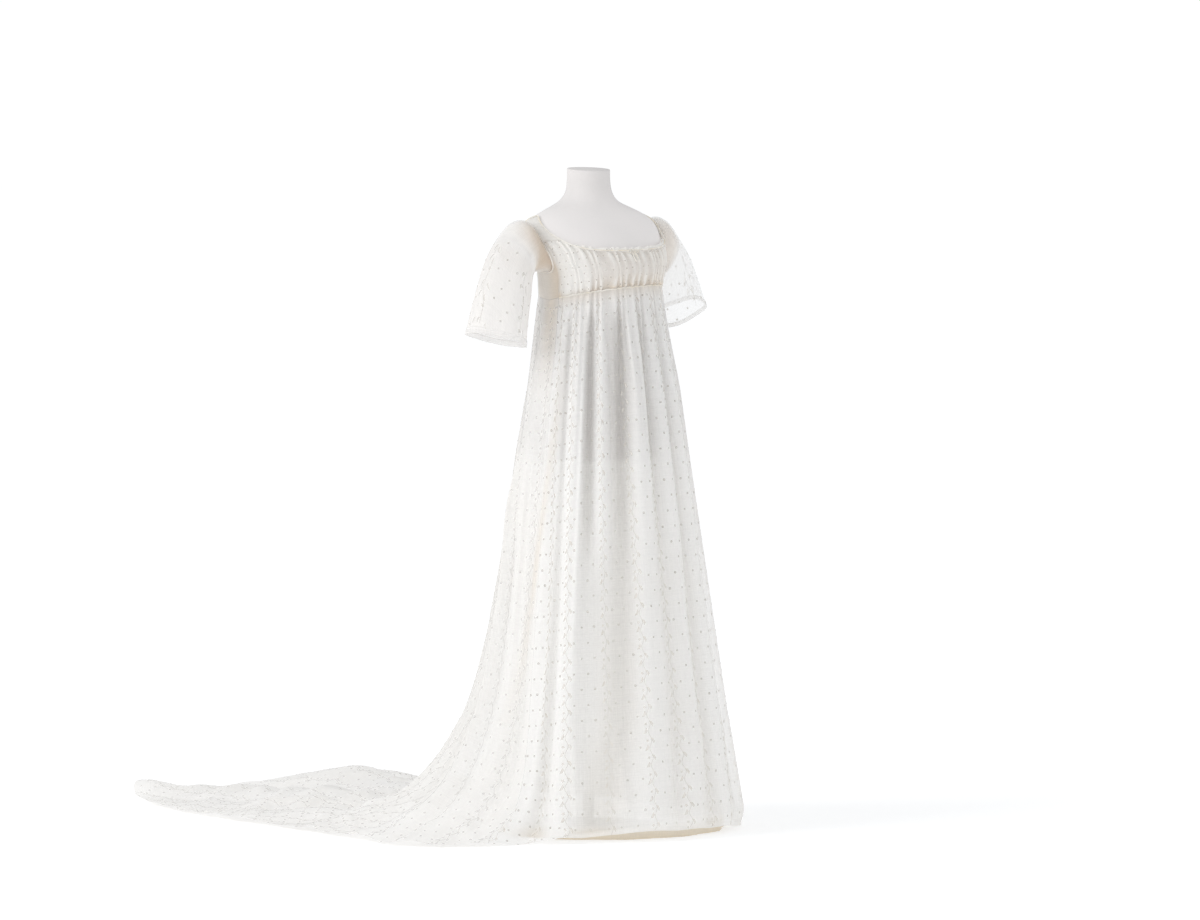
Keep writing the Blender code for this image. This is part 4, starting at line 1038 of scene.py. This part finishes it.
def makeSkirt():
    near = np.linspace(0, 0.10, 26)
    hanging = np.linspace(0.10, 0.55, 62)[1:]
    front = np.concatenate([near, hanging, np.linspace(0.55, 1, 48)[1:]])
    angles = np.linspace(-seamAngle, seamAngle, skirt["frontColumns"] + 1)
    points, base, lies = skirtSurface(angles, front)
    angle, share = np.meshgrid(angles, front)
    clothMap = panelMap(base, slice(None), len(angles) // 2, 0.0, 0.8)
    # browner at the top under the waist cord and along a crease; painted shade in the deep valley between
    # the front folds
    yellowedAndShaded = 0.35 * smooth(1 - share / 0.02)
    yellowedAndShaded = yellowedAndShaded + brownFold(angle, share)
    valleyShade = foldShape(angle, share, lerp(-18, -38, share), 8.0)
    yellowedAndShaded = yellowedAndShaded + lerp(0.10, 0.22, smooth((share - 0.3) / 0.2)) * valleyShade * smooth(share / 0.1)
    hem = smooth((clothMap[..., 1] - clothMap[-1:, :, 1] + 0.012) / 0.002)
    doubled = np.maximum(hem * 0.8, thickness(angle, share))
    frontPiece = clothPiece("skirtFrontMuslin", pullIn(points), clothMap, muslin,
                            yellowedAndShaded=yellowedAndShaded, doubled=doubled)
    frontPiece.data.flip_normals()
    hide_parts("skirt_front")

    back = np.concatenate([near, hanging, np.linspace(0.55, 1, 128)[1:]])
    gore = skirt["goreAngle"]
    angles = np.concatenate([
        np.linspace(seamAngle, gore, skirt["goreColumns"] + 1),
        np.linspace(gore, 360 - gore, skirt["trainColumns"] + 1)[1:],
        np.linspace(360 - gore, 360 - seamAngle, skirt["goreColumns"] + 1)[1:],
    ])
    points, base, lies = skirtSurface(angles, back)
    g, t = skirt["goreColumns"], skirt["trainColumns"]
    panels = [
        (0, panelMap(base, slice(0, g + 1), g // 2, 3.0, 0.3)),
        (g, panelMap(base, slice(g, g + t + 1), t // 2, 0.0, 0.3)),
        (g + t, panelMap(base, slice(g + t, None), g // 2, -3.0, 0.3)),
    ]
    down = lengthsAlong(base, 0)
    angle, share = np.meshgrid(angles, back)
    hem = smooth((down - down[-1:] + 0.012) / 0.002)
    doubled = np.maximum(hem * 0.8, thickness(wrapped(angle), share) + 0.45 * lies)
    # yellowed, with painted shade, under the right arm, where the cloth also lies thicker
    underArm = foldShape(angle, share, -86, 12) * smooth(1 - share / 0.14)
    doubled = np.maximum(doubled, 1.2 * underArm)
    backPiece = clothPiece("skirtBackMuslin", pullIn(points), panels, muslin,
                           yellowedAndShaded=0.05 + 0.5 * underArm + brownFold(angle, share), doubled=doubled)
    backPiece.data.flip_normals()
    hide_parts("skirt_back")
    return frontPiece, backPiece


skirtFront, skirtBack = makeSkirt()
print("skirt made")


# Underskirt

under = {"halfWidth": 0.270, "halfDepth": 0.250, "x": 0.028, "y": -0.032, "folds": 12,
         "foldDepth": 0.008, "sides": 288, "rows": 72}


def makeUnderskirt():
    turn, share = np.meshgrid(360.0 * np.arange(under["sides"]) / under["sides"],
                              np.linspace(0, 1, under["rows"] + 1))
    a = np.radians(turn)
    inner = waistOff(turn) - clothWall / 2 - seamGap
    top = offForm(turn, waistZ(wrapped(turn)) - 0.003, inner)
    foot = np.stack([under["x"] + under["halfWidth"] * np.sin(a),
                     under["y"] - under["halfDepth"] * np.cos(a), 0 * a + 0.0008], axis=-1)
    point = lerp(top, foot, share[..., None])
    wave = 0.5 - 0.5 * np.cos(under["folds"] * a)
    small = 0.5 - 0.5 * np.cos(31 * a + 3 * np.sin(2 * a))
    middle = np.stack([0 * a, 0 * a + under["y"], point[..., 2]], axis=-1)
    depth = share * (under["foldDepth"] * wave + 0.002 * small)
    point = point + unit(middle - point) * depth[..., None]
    away = np.abs(wrapped(turn + 28.0))
    yellowedAndShaded = 0.95 * smooth((share - 0.978) / 0.012)
    facing = smooth((105 - away) / 30)
    yellowedAndShaded = yellowedAndShaded * facing
    sides = np.where(wrapped(turn + 28.0) > 0, 0.50, 0.15) * smooth((away - 25) / 30)
    doubled = np.maximum(smooth((share - 0.972) / 0.005) * facing, sides)
    piece = clothPiece("underskirtCotton", point, aroundMap(point), underskirtCotton,
                       around=True, yellowedAndShaded=yellowedAndShaded, doubled=doubled)
    piece.data.flip_normals()
    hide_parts("underskirt")


makeUnderskirt()
print("underskirt made")


# Whitework: dots between wavy bands of leaves, laid out flat in the cloth's map and then
# moved to the cloth

def flatGrid(tree, inside, across, down):
    # points of a lattice over the map, from "Map Start" over "Map Size"
    size = addNode(tree, "ShaderNodeSeparateXYZ", {0: inside.outputs["Map Size"]})
    counts, lengths = [], []
    for axis, pitch in ((0, across), (1, down)):
        whole = calc(tree, "FLOOR", calc(tree, "DIVIDE", size.outputs[axis], pitch))
        counts.append(calc(tree, "ADD", whole, 1.0))
        lengths.append(calc(tree, "MULTIPLY", whole, pitch))
    grid = addNode(tree, "GeometryNodeMeshGrid",
                   {"Size X": lengths[0], "Size Y": lengths[1], "Vertices X": counts[0],
                    "Vertices Y": counts[1]})
    half = addNode(tree, "ShaderNodeCombineXYZ",
                   {0: calc(tree, "MULTIPLY", lengths[0], 0.5),
                    1: calc(tree, "MULTIPLY", lengths[1], 0.5)}).outputs[0]
    corner = calcVector(tree, "ADD", half, inside.outputs["Map Start"])
    moved = addNode(tree, "GeometryNodeSetPosition",
                    {"Geometry": grid.outputs["Mesh"], "Offset": corner})
    return moved.outputs[0]


def onCloth(tree, inside, value):
    # reads a value of the cloth where its map matches the flat position
    clothMap = addNode(tree, "GeometryNodeInputNamedAttribute", {"Name": "cloth"},
                       data_type="FLOAT_VECTOR")
    spot = addNode(tree, "GeometryNodeInputPosition").outputs[0]
    read = addNode(tree, "GeometryNodeSampleUVSurface", data_type="FLOAT_VECTOR")
    for key, link in (("Mesh", inside.outputs["Geometry"]), ("Value", value),
                      ("Sample UV", spot)):
        socket = [s for s in read.inputs if s.name == key and s.enabled][0]
        tree.links.new(link, socket)
    source = [s for s in read.inputs if "UV" in s.name and s.name != "Sample UV"][0]
    tree.links.new(clothMap.outputs[0], source)
    found = [s for s in read.outputs if s.name == "Value" and s.enabled][0]
    return found, read.outputs["Is Valid"]


def dropInvalid(tree, geometry, valid):
    missing = addNode(tree, "FunctionNodeBooleanMath", {0: valid}, operation="NOT").outputs[0]
    return addNode(tree, "GeometryNodeDeleteGeometry", {"Geometry": geometry, "Selection": missing},
                   domain="POINT").outputs[0]


def seated(tree, inside, geometry):
    # moves flat points to the cloth, at their own height and "Lift" above it
    place, valid = onCloth(tree, inside, addNode(tree, "GeometryNodeInputPosition").outputs[0])
    facing, _ = onCloth(tree, inside, addNode(tree, "GeometryNodeInputNormal").outputs[0])
    here = addNode(tree, "GeometryNodeInputPosition").outputs[0]
    height = addNode(tree, "ShaderNodeSeparateXYZ", {0: here}).outputs[2]
    height = calc(tree, "ADD", height, inside.outputs["Lift"])
    raised = calcVector(tree, "SCALE", facing)
    tree.links.new(height, raised.node.inputs["Scale"])
    kept = dropInvalid(tree, geometry, valid)
    spot = calcVector(tree, "ADD", place, raised)
    return addNode(tree, "GeometryNodeSetPosition", {"Geometry": kept, "Position": spot}).outputs[0]


def finishTree(tree, inside, out, geometry):
    real = addNode(tree, "GeometryNodeRealizeInstances", {0: geometry}).outputs[0]
    soft = addNode(tree, "GeometryNodeSetShadeSmooth", {"Geometry": real}).outputs[0]
    done = addNode(tree, "GeometryNodeSetMaterial",
                   {"Geometry": soft, "Material": inside.outputs["Thread"]}).outputs[0]
    tree.links.new(done, out.inputs[0])


mapSockets = [("Geometry", "NodeSocketGeometry", None), ("Map Start", "NodeSocketVector", None),
              ("Map Size", "NodeSocketVector", None), ("Lift", "NodeSocketFloat", 0.0002),
              ("Thread", "NodeSocketMaterial", None), ("Seed", "NodeSocketInt", 1)]


def dotTree():
    tree, inside, out = newGroup(
        "embroideredDots", "GeometryNodeTree",
        mapSockets + [("Pitch", "NodeSocketFloat", 0.034), ("Dot Size", "NodeSocketFloat", 0.006),
                      ("Band Pitch", "NodeSocketFloat", 0.095),
                      ("Band Width", "NodeSocketFloat", 0.030)],
        [("Geometry", "NodeSocketGeometry")],
    )
    pitch = inside.outputs["Pitch"]
    grid = flatGrid(tree, inside, pitch, pitch)
    # every other row is moved half a pitch
    at = addNode(tree, "ShaderNodeSeparateXYZ",
                 {0: calcVector(tree, "SUBTRACT",
                                addNode(tree, "GeometryNodeInputPosition").outputs[0],
                                inside.outputs["Map Start"])})
    row = calc(tree, "ROUND", calc(tree, "DIVIDE", at.outputs[1], pitch))
    odd = calc(tree, "MULTIPLY", calc(tree, "MODULO", row, 2.0), calc(tree, "MULTIPLY", pitch, 0.5))
    offset = addNode(tree, "ShaderNodeCombineXYZ", {0: odd}).outputs[0]
    grid = addNode(tree, "GeometryNodeSetPosition", {"Geometry": grid, "Offset": offset}).outputs[0]
    # no dots on the bands
    across = addNode(tree, "ShaderNodeSeparateXYZ",
                     {0: addNode(tree, "GeometryNodeInputPosition").outputs[0]}).outputs[0]
    half = calc(tree, "MULTIPLY", inside.outputs["Band Pitch"], 0.5)
    away = calc(tree, "WRAP", across, half, calc(tree, "MULTIPLY", half, -1.0))
    onBand = calc(tree, "LESS_THAN", calc(tree, "ABSOLUTE", away),
                  calc(tree, "MULTIPLY", inside.outputs["Band Width"], 0.5))
    grid = addNode(tree, "GeometryNodeDeleteGeometry", {"Geometry": grid, "Selection": onBand},
                   domain="POINT").outputs[0]
    facing, valid = onCloth(tree, inside, addNode(tree, "GeometryNodeInputNormal").outputs[0])
    kept = addNode(tree, "GeometryNodeStoreNamedAttribute",
                   {"Geometry": grid, "Name": "facing", "Value": facing},
                   data_type="FLOAT_VECTOR", domain="POINT").outputs[0]
    points = seated(tree, inside, kept)
    dot = addNode(tree, "GeometryNodeMeshUVSphere", {"Segments": 8, "Rings": 4, "Radius": 0.5})
    flat = addNode(tree, "GeometryNodeTransform",
                   {"Geometry": dot.outputs["Mesh"], "Scale": (1.0, 1.0, 0.22)}).outputs[0]
    stored = addNode(tree, "GeometryNodeInputNamedAttribute", {"Name": "facing"},
                     data_type="FLOAT_VECTOR").outputs[0]
    turn = addNode(tree, "FunctionNodeAlignRotationToVector", {"Vector": stored}, axis="Z")
    vary = addNode(tree, "FunctionNodeRandomValue", {"Seed": inside.outputs["Seed"]},
                   data_type="FLOAT")
    vary.inputs[2].default_value, vary.inputs[3].default_value = 0.85, 1.12
    scale = calc(tree, "MULTIPLY", vary.outputs[1], inside.outputs["Dot Size"])
    dots = addNode(tree, "GeometryNodeInstanceOnPoints",
                   {"Points": points, "Instance": flat, "Rotation": turn.outputs[0],
                    "Scale": scale}).outputs[0]
    finishTree(tree, inside, out, dots)
    return tree


def leafShape(tree, wide, long, raised, curl=0.0):
    # a pointed oval of six corners with a raised middle
    oval = addNode(tree, "GeometryNodeMeshCircle", {"Vertices": 6, "Radius": 1.0},
                   fill_type="TRIANGLE_FAN").outputs[0]
    spot = addNode(tree, "GeometryNodeInputPosition").outputs[0]
    middle = calc(tree, "SUBTRACT", 1.0, calcVector(tree, "LENGTH", spot).node.outputs["Value"])
    lift = addNode(tree, "ShaderNodeCombineXYZ", {2: middle}).outputs[0]
    oval = addNode(tree, "GeometryNodeSetPosition", {"Geometry": oval, "Offset": lift}).outputs[0]
    along = addNode(tree, "ShaderNodeSeparateXYZ", {0: spot}).outputs[0]
    bow = calc(tree, "MULTIPLY", calc(tree, "MULTIPLY", along, along), curl * long / wide)
    bow = addNode(tree, "ShaderNodeCombineXYZ", {1: bow}).outputs[0]
    oval = addNode(tree, "GeometryNodeSetPosition", {"Geometry": oval, "Offset": bow}).outputs[0]
    return addNode(tree, "GeometryNodeTransform",
                   {"Geometry": oval, "Scale": (long / 2, wide / 2, raised)}).outputs[0]


def placed(tree, geometry, x, y, turn):
    return addNode(tree, "GeometryNodeTransform",
                   {"Geometry": geometry, "Translation": (x, y, 0.0),
                    "Rotation": (0.0, 0.0, math.radians(turn))}).outputs[0]


def vineTree(name, vine):
    tree, inside, out = newGroup(
        name, "GeometryNodeTree",
        mapSockets + [("Band Pitch", "NodeSocketFloat", 0.095),
                      ("Repeat", "NodeSocketFloat", vine["repeat"])],
        [("Geometry", "NodeSocketGeometry")],
    )
    repeat, swing = vine["repeat"], vine["swing"]
    line = addNode(tree, "GeometryNodeCurvePrimitiveLine", {"End": (0.0, repeat, 0.0)}).outputs[0]
    line = addNode(tree, "GeometryNodeResampleCurve", {"Curve": line, "Count": 9}).outputs[0]
    at = addNode(tree, "ShaderNodeSeparateXYZ",
                 {0: addNode(tree, "GeometryNodeInputPosition").outputs[0]}).outputs[1]
    wave = calc(tree, "SINE", calc(tree, "MULTIPLY", at, 2 * math.pi / repeat))
    bend = addNode(tree, "ShaderNodeCombineXYZ", {0: calc(tree, "MULTIPLY", wave, swing)}).outputs[0]
    line = addNode(tree, "GeometryNodeSetPosition", {"Geometry": line, "Offset": bend}).outputs[0]
    ring = addNode(tree, "GeometryNodeCurvePrimitiveCircle",
                   {"Resolution": 3, "Radius": vine["stem"] / 2}, mode="RADIUS").outputs[0]
    stem = addNode(tree, "GeometryNodeCurveToMesh", {"Curve": line, "Profile Curve": ring}).outputs[0]
    leaf = leafShape(tree, vine["leafWide"], vine["leafLong"], 0.0005, vine["curl"])
    petal = leafShape(tree, vine["petal"] * 0.6, vine["petal"], 0.0005)
    parts = [stem]
    for x, y, turn in vine["leaves"]:
        parts.append(placed(tree, leaf, x, y * repeat, turn))
    for x, y, size in vine["flowers"]:
        for k in range(5):
            a = 72.0 * k + 18
            reach = vine["petal"] * 0.55 * size
            parts.append(placed(tree, petal, x + reach * math.cos(math.radians(a)),
                                y * repeat + reach * math.sin(math.radians(a)), a))
    joined = addNode(tree, "GeometryNodeJoinGeometry")
    for part in parts:
        tree.links.new(part, joined.inputs[0])
    grid = flatGrid(tree, inside, inside.outputs["Band Pitch"], inside.outputs["Repeat"])
    units = addNode(tree, "GeometryNodeInstanceOnPoints",
                    {"Points": grid, "Instance": joined.outputs[0]}).outputs[0]
    real = addNode(tree, "GeometryNodeRealizeInstances", {0: units}).outputs[0]
    finishTree(tree, inside, out, seated(tree, inside, real))
    return tree


def treeMesh(carrier, tree, settings):
    # the plain mesh that a tree makes from a carrier's mesh
    found = bpy.data.objects.new("carrier", carrier)
    bpy.context.scene.collection.objects.link(found)
    modifier = found.modifiers.new("tree", "NODES")
    modifier.node_group = tree
    sockets = {s.name: s.identifier for s in tree.interface.items_tree if s.in_out == "INPUT"}
    for label, value in settings.items():
        modifier[sockets[label]] = value
    depsgraph = bpy.context.evaluated_depsgraph_get()
    mesh = bpy.data.meshes.new_from_object(found.evaluated_get(depsgraph))
    found.modifiers.clear()
    bpy.data.objects.remove(found)
    return mesh


def embroider(name, cloth, tree, slot, start, size, thread=whitework, **settings):
    mesh = treeMesh(cloth.data, tree, {"Map Start": (*start, 0.0), "Map Size": (*size, 0.0),
                                       "Thread": thread, **settings})
    mesh.name = name
    if not mesh.materials:
        mesh.materials.append(thread)
    piece = bpy.data.objects.new(name, mesh)
    bpy.context.scene.collection.objects.link(piece)
    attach(piece, "root")
    print(name, len(mesh.polygons), "faces")
    return piece


skirtVine = {"repeat": 0.037, "swing": 0.0030, "stem": 0.0008, "leafWide": 0.0056,
             "leafLong": 0.0150, "curl": 0.45, "petal": 0.0034,
             "leaves": [(0.0070, 0.25, 62), (-0.0070, 0.72, 118)],
             "flowers": [(-0.0065, 0.28, 1.0)]}
sleeveVine = {"repeat": 0.085, "swing": 0.0040, "stem": 0.0007, "leafWide": 0.0050,
              "leafLong": 0.0170, "curl": 0.6, "petal": 0.0046,
              "leaves": [(0.0105, 0.16, 60), (-0.0095, 0.30, 120), (0.0100, 0.44, 50),
                         (-0.0020, 0.60, 95)],
              "flowers": [(-0.0010, 0.80, 1.0)]}
dots = {"pitch": 0.034, "size": 0.0054, "bandPitch": 0.095, "bandWidth": 0.026}


def makeEmbroidery():
    dotted, vined = dotTree(), vineTree("skirtVine", skirtVine)
    sleeved = vineTree("sleeveVine", sleeveVine)
    for word, cloth, start, size, dotThread, vineThread in (
        ("skirtFront", skirtFront, (-0.475, 0.02), (0.95, 1.26), whitework, vineCotton),
        ("skirtBack", skirtBack, (-3.61, 0.02), (7.22, 2.4), litTrainCotton, litTrainCotton),
    ):
        embroider(word + "Dots", cloth, dotted, "muslin", start, size, dotThread, Seed=3,
                  **{"Pitch": dots["pitch"], "Dot Size": dots["size"],
                     "Band Pitch": dots["bandPitch"], "Band Width": dots["bandWidth"]})
        embroider(word + "Vines", cloth, vined, "muslin", start, size, vineThread,
                  **{"Band Pitch": dots["bandPitch"]})
    for word, cloth in sleevePieces.items():
        start = 0.105  # clear of the lining
        embroider("sleeve" + word + "Sprigs", cloth, sleeved, "muslin", (0.0, start),
                  (0.46, 0.24), **{"Band Pitch": 0.100})
        embroider("sleeve" + word + "Dots", cloth, dotted, "muslin", (0.0, start),
                  (0.42, 0.24), Seed=5, **{"Pitch": 0.031, "Dot Size": 0.005,
                                           "Band Pitch": 0.100, "Band Width": 0.034})
    embroider("bodiceFrontDots", bodiceFront, dotted, "bodice", (0.0, 0.01), (0.40, 0.12),
              vineCotton, Seed=9, **{"Pitch": 0.017, "Dot Size": 0.0035, "Band Pitch": 0.05,
                         "Band Width": 0.012})


makeEmbroidery()
print("whitework made")


# Drawstrings: two strands twisted together

cords = {"diameter": 0.0026, "strand": 0.00072, "pitch": 0.0062, "bowCord": 0.0020,
         "knot": 0.0060, "loop": 0.013, "end": 0.026, "slope": 0.75}


def neckCordPoint(angle):
    away = np.abs(wrapped(angle))
    corner = np.where(wrapped(angle) > 0, corners[1][1], corners[-1][1])
    onStrap = (away - corner) / (strapEndNeck - corner)
    gathered = 1 - smooth((away - corner) / 8.0)
    distance = strapOff(np.clip(onStrap, 0, 1))
    distance = distance + gathered * (0.4 * waist["frontOff"] + gathers["depth"] - 0.0024 + 0.0012)
    distance = distance + clothWall + seamGap + cords["diameter"] / 2
    return offForm(angle, necklineZ(angle) - 0.0015, distance)


def waistCordPoint(angle):
    distance = waistOff(angle) + gathers["depth"] + skirt["wall"]
    distance = distance + 0.4 * cords["diameter"] + 0.3 * seamGap
    turns = 2 * np.pi * gatherTurns(angle)
    distance = distance + 0.0007 * np.sin(2 * turns)
    return offForm(angle, waistZ(angle) + 0.0006 * np.sin(turns + 1), distance)


def evenly(path, step):
    total = lengthsAlong(path, 0)
    at = np.linspace(0, total[-1], max(4, int(total[-1] / step)))
    return np.stack([np.interp(at, total, path[:, k]) for k in range(3)], axis=-1)


def strands(path, radius, pitch, count=2):
    ahead = unit(np.gradient(path, axis=0))
    side = unit(np.cross(ahead, [0.31, 0.17, 0.93]))
    other = np.cross(side, ahead)
    length = lengthsAlong(path, 0)
    made = []
    for k in range(count):
        turn = (2 * np.pi * (length / pitch + k / count))[:, None]
        made.append(path + (side * np.cos(turn) + other * np.sin(turn)) * radius)
    return made


def twistedPiece(name, path, replaced):
    path = evenly(path, cords["pitch"] / 8)
    paths = strands(path, cords["diameter"] / 2 - cords["strand"], cords["pitch"])
    piece = tubePiece(name, paths, [cords["strand"]] * 2, cordCotton, sides=6)
    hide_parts(replaced)
    return piece


def makeDrawstrings():
    neck = neckCordPoint(np.linspace(2, 358, 400))
    twistedPiece("neckDrawstring", neck, "neck_drawstring")
    reach = seamAngle - 2
    twistedPiece("waistDrawstring", waistCordPoint(np.linspace(-reach, reach, 200)),
                 "waist_drawstring")
    centre = neckCordPoint(np.array(0.0)) + [0, -0.0024, 0]
    sideways, down = np.array([1.0, 0, 0]), unit(np.array([0, -cords["slope"], -1.0]))
    paths, radii = [], []
    radius = cords["bowCord"] / 2
    for side in (-1, 1):
        turn = np.radians(np.linspace(24, 336, 32))[:, None]
        root = centre + sideways * side * cords["knot"] * 0.43
        reach = cords["loop"] / 2 * (1 - np.cos(turn))
        drop = 0.25 * reach - cords["loop"] * 0.28 * np.sin(turn)
        paths.append(root + sideways * side * reach + down * drop)
        start = centre + down * cords["knot"] * 0.52 + sideways * side * cords["knot"] * 0.25
        share = np.linspace(0, 1, 24)[:, None]
        spread = side * 0.008 * share * (1.4 - share)
        paths.append(start + down * cords["end"] * share + sideways * spread)
    wrap = np.linspace(0, 2 * np.pi * 2.5, 40)[:, None]
    across = (wrap / (5 * np.pi) - 0.5) * cords["knot"] * 0.6
    forward = np.cross(down, sideways)
    knot = centre + sideways * across + (down * np.cos(wrap) + forward * np.sin(wrap)) * 0.0019
    paths.append(knot)
    fine = []
    for path in paths:
        for strand in strands(evenly(path, 0.0008), radius * 0.45, 0.0045):
            fine.append(strand)
            radii.append(radius * 0.55)
    bow = tubePiece("neckBow", fine, radii, cordCotton, sides=6)
    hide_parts("neck_bow_knot", "neck_bow_loop_right", "neck_bow_loop_left",
                "neck_bow_end_right", "neck_bow_end_left")


makeDrawstrings()
print("drawstrings made")


# Floor, light and camera

studio = {"toCamera": 42.0, "distance": 24.0, "cameraHeight": 2.55,
          "aim": (0.0188, -0.0169, 0.813), "frameWidth": 2.64,
          "floorRadius": 30.0, "roomLight": 0.77, "floorGlow": 0.31,
          "nearGlow": 0.25, "floorFade": (0.5, 2.0)}


def makeStudio():
    alpha = math.radians(studio["toCamera"])
    toCamera = np.array([-math.sin(alpha), -math.cos(alpha), 0.0])
    camera = bpy.data.objects.new("camera", bpy.data.cameras.new("camera"))
    bpy.context.scene.collection.objects.link(camera)
    place = toCamera * studio["distance"] + [0, 0, studio["cameraHeight"]]
    camera.location = place
    look = np.array(studio["aim"]) - place
    forward = unit(look)
    right = unit(np.cross(forward, [0, 0, 1.0]))
    up = np.cross(right, forward)
    camera.rotation_euler = mathutils.Matrix(np.array([right, up, -forward]).T.tolist()).to_euler()
    distance = float(np.linalg.norm(look))
    camera.data.sensor_width = 36.0
    camera.data.lens = 36.0 * distance / studio["frameWidth"]
    camera.data.clip_end = 200.0
    bpy.context.scene.camera = camera

    floorMesh = bpy.data.meshes.new("studioFloor")
    size, sides = studio["floorRadius"], 96
    rim = [(size * math.cos(2 * math.pi * k / sides), size * math.sin(2 * math.pi * k / sides), 0)
           for k in range(sides)]
    floorMesh.from_pydata(rim, [], [list(range(sides))])
    floor = bpy.data.objects.new("studioFloor", floorMesh)
    bpy.context.scene.collection.objects.link(floor)
    paper, tree, shader = newMaterial("palePaper", 0.95)
    shader.inputs["Base Color"].default_value = (0.94, 0.94, 0.94, 1)
    shader.inputs["Specular IOR Level"].default_value = 0.0
    shader.inputs["Emission Color"].default_value = (1.0, 1.0, 1.0, 1)
    # the floor glows less within 2 m of the middle, least within 0.5 m: painted shade on the floor round
    # the gown
    away = calcVector(tree, "LENGTH", addNode(tree, "ShaderNodeTexCoord").outputs["Object"])
    away = smoothed(tree, away.node.outputs["Value"], *studio["floorFade"])
    glow = calc(tree, "MULTIPLY_ADD", away, studio["floorGlow"] - studio["nearGlow"],
                studio["nearGlow"])
    tree.links.new(glow, shader.inputs["Emission Strength"])
    floorMesh.materials.append(paper)

    world = bpy.data.worlds.new("softWhite")
    bpy.context.scene.world = world
    world.use_nodes = True
    tree = world.node_tree
    room = tree.nodes["Background"]
    room.inputs["Color"].default_value = (0.97, 0.985, 1.0, 1)
    room.inputs["Strength"].default_value = studio["roomLight"]
    backdrop = addNode(tree, "ShaderNodeBackground", {"Color": (1, 1, 1, 1), "Strength": 1.02})
    seen = addNode(tree, "ShaderNodeLightPath").outputs["Is Camera Ray"]
    mixed = addNode(tree, "ShaderNodeMixShader",
                    {0: seen, 1: room.outputs[0], 2: backdrop.outputs[0]})
    tree.links.new(mixed.outputs[0], tree.nodes["World Output"].inputs[0])
    leftward = -right
    for name, spot, width, watts in (
        ("keyLight", toCamera * 2.0 + leftward * 3.4 + [0, 0, 2.8], 2.2, 59.0),
        ("fillLight", toCamera * 3.5 - leftward * 3.0 + [0, 0, 1.6], 3.0, 7.0),
    ):
        lamp = bpy.data.lights.new(name, "AREA")
        lamp.size = width
        lamp.energy = watts
        made = bpy.data.objects.new(name, lamp)
        bpy.context.scene.collection.objects.link(made)
        made.location = spot
        aim = unit(np.array([0, 0, 0.8]) - spot)
        side = unit(np.cross(aim, [0, 0, 1.0]))
        made.rotation_euler = mathutils.Matrix(
            np.array([side, np.cross(side, aim), -aim]).T.tolist()).to_euler()
    bpy.context.scene.view_settings.view_transform = "Standard"
    bpy.context.scene.cycles.transparent_max_bounces = 24


makeStudio()
print("floor, light and camera made")
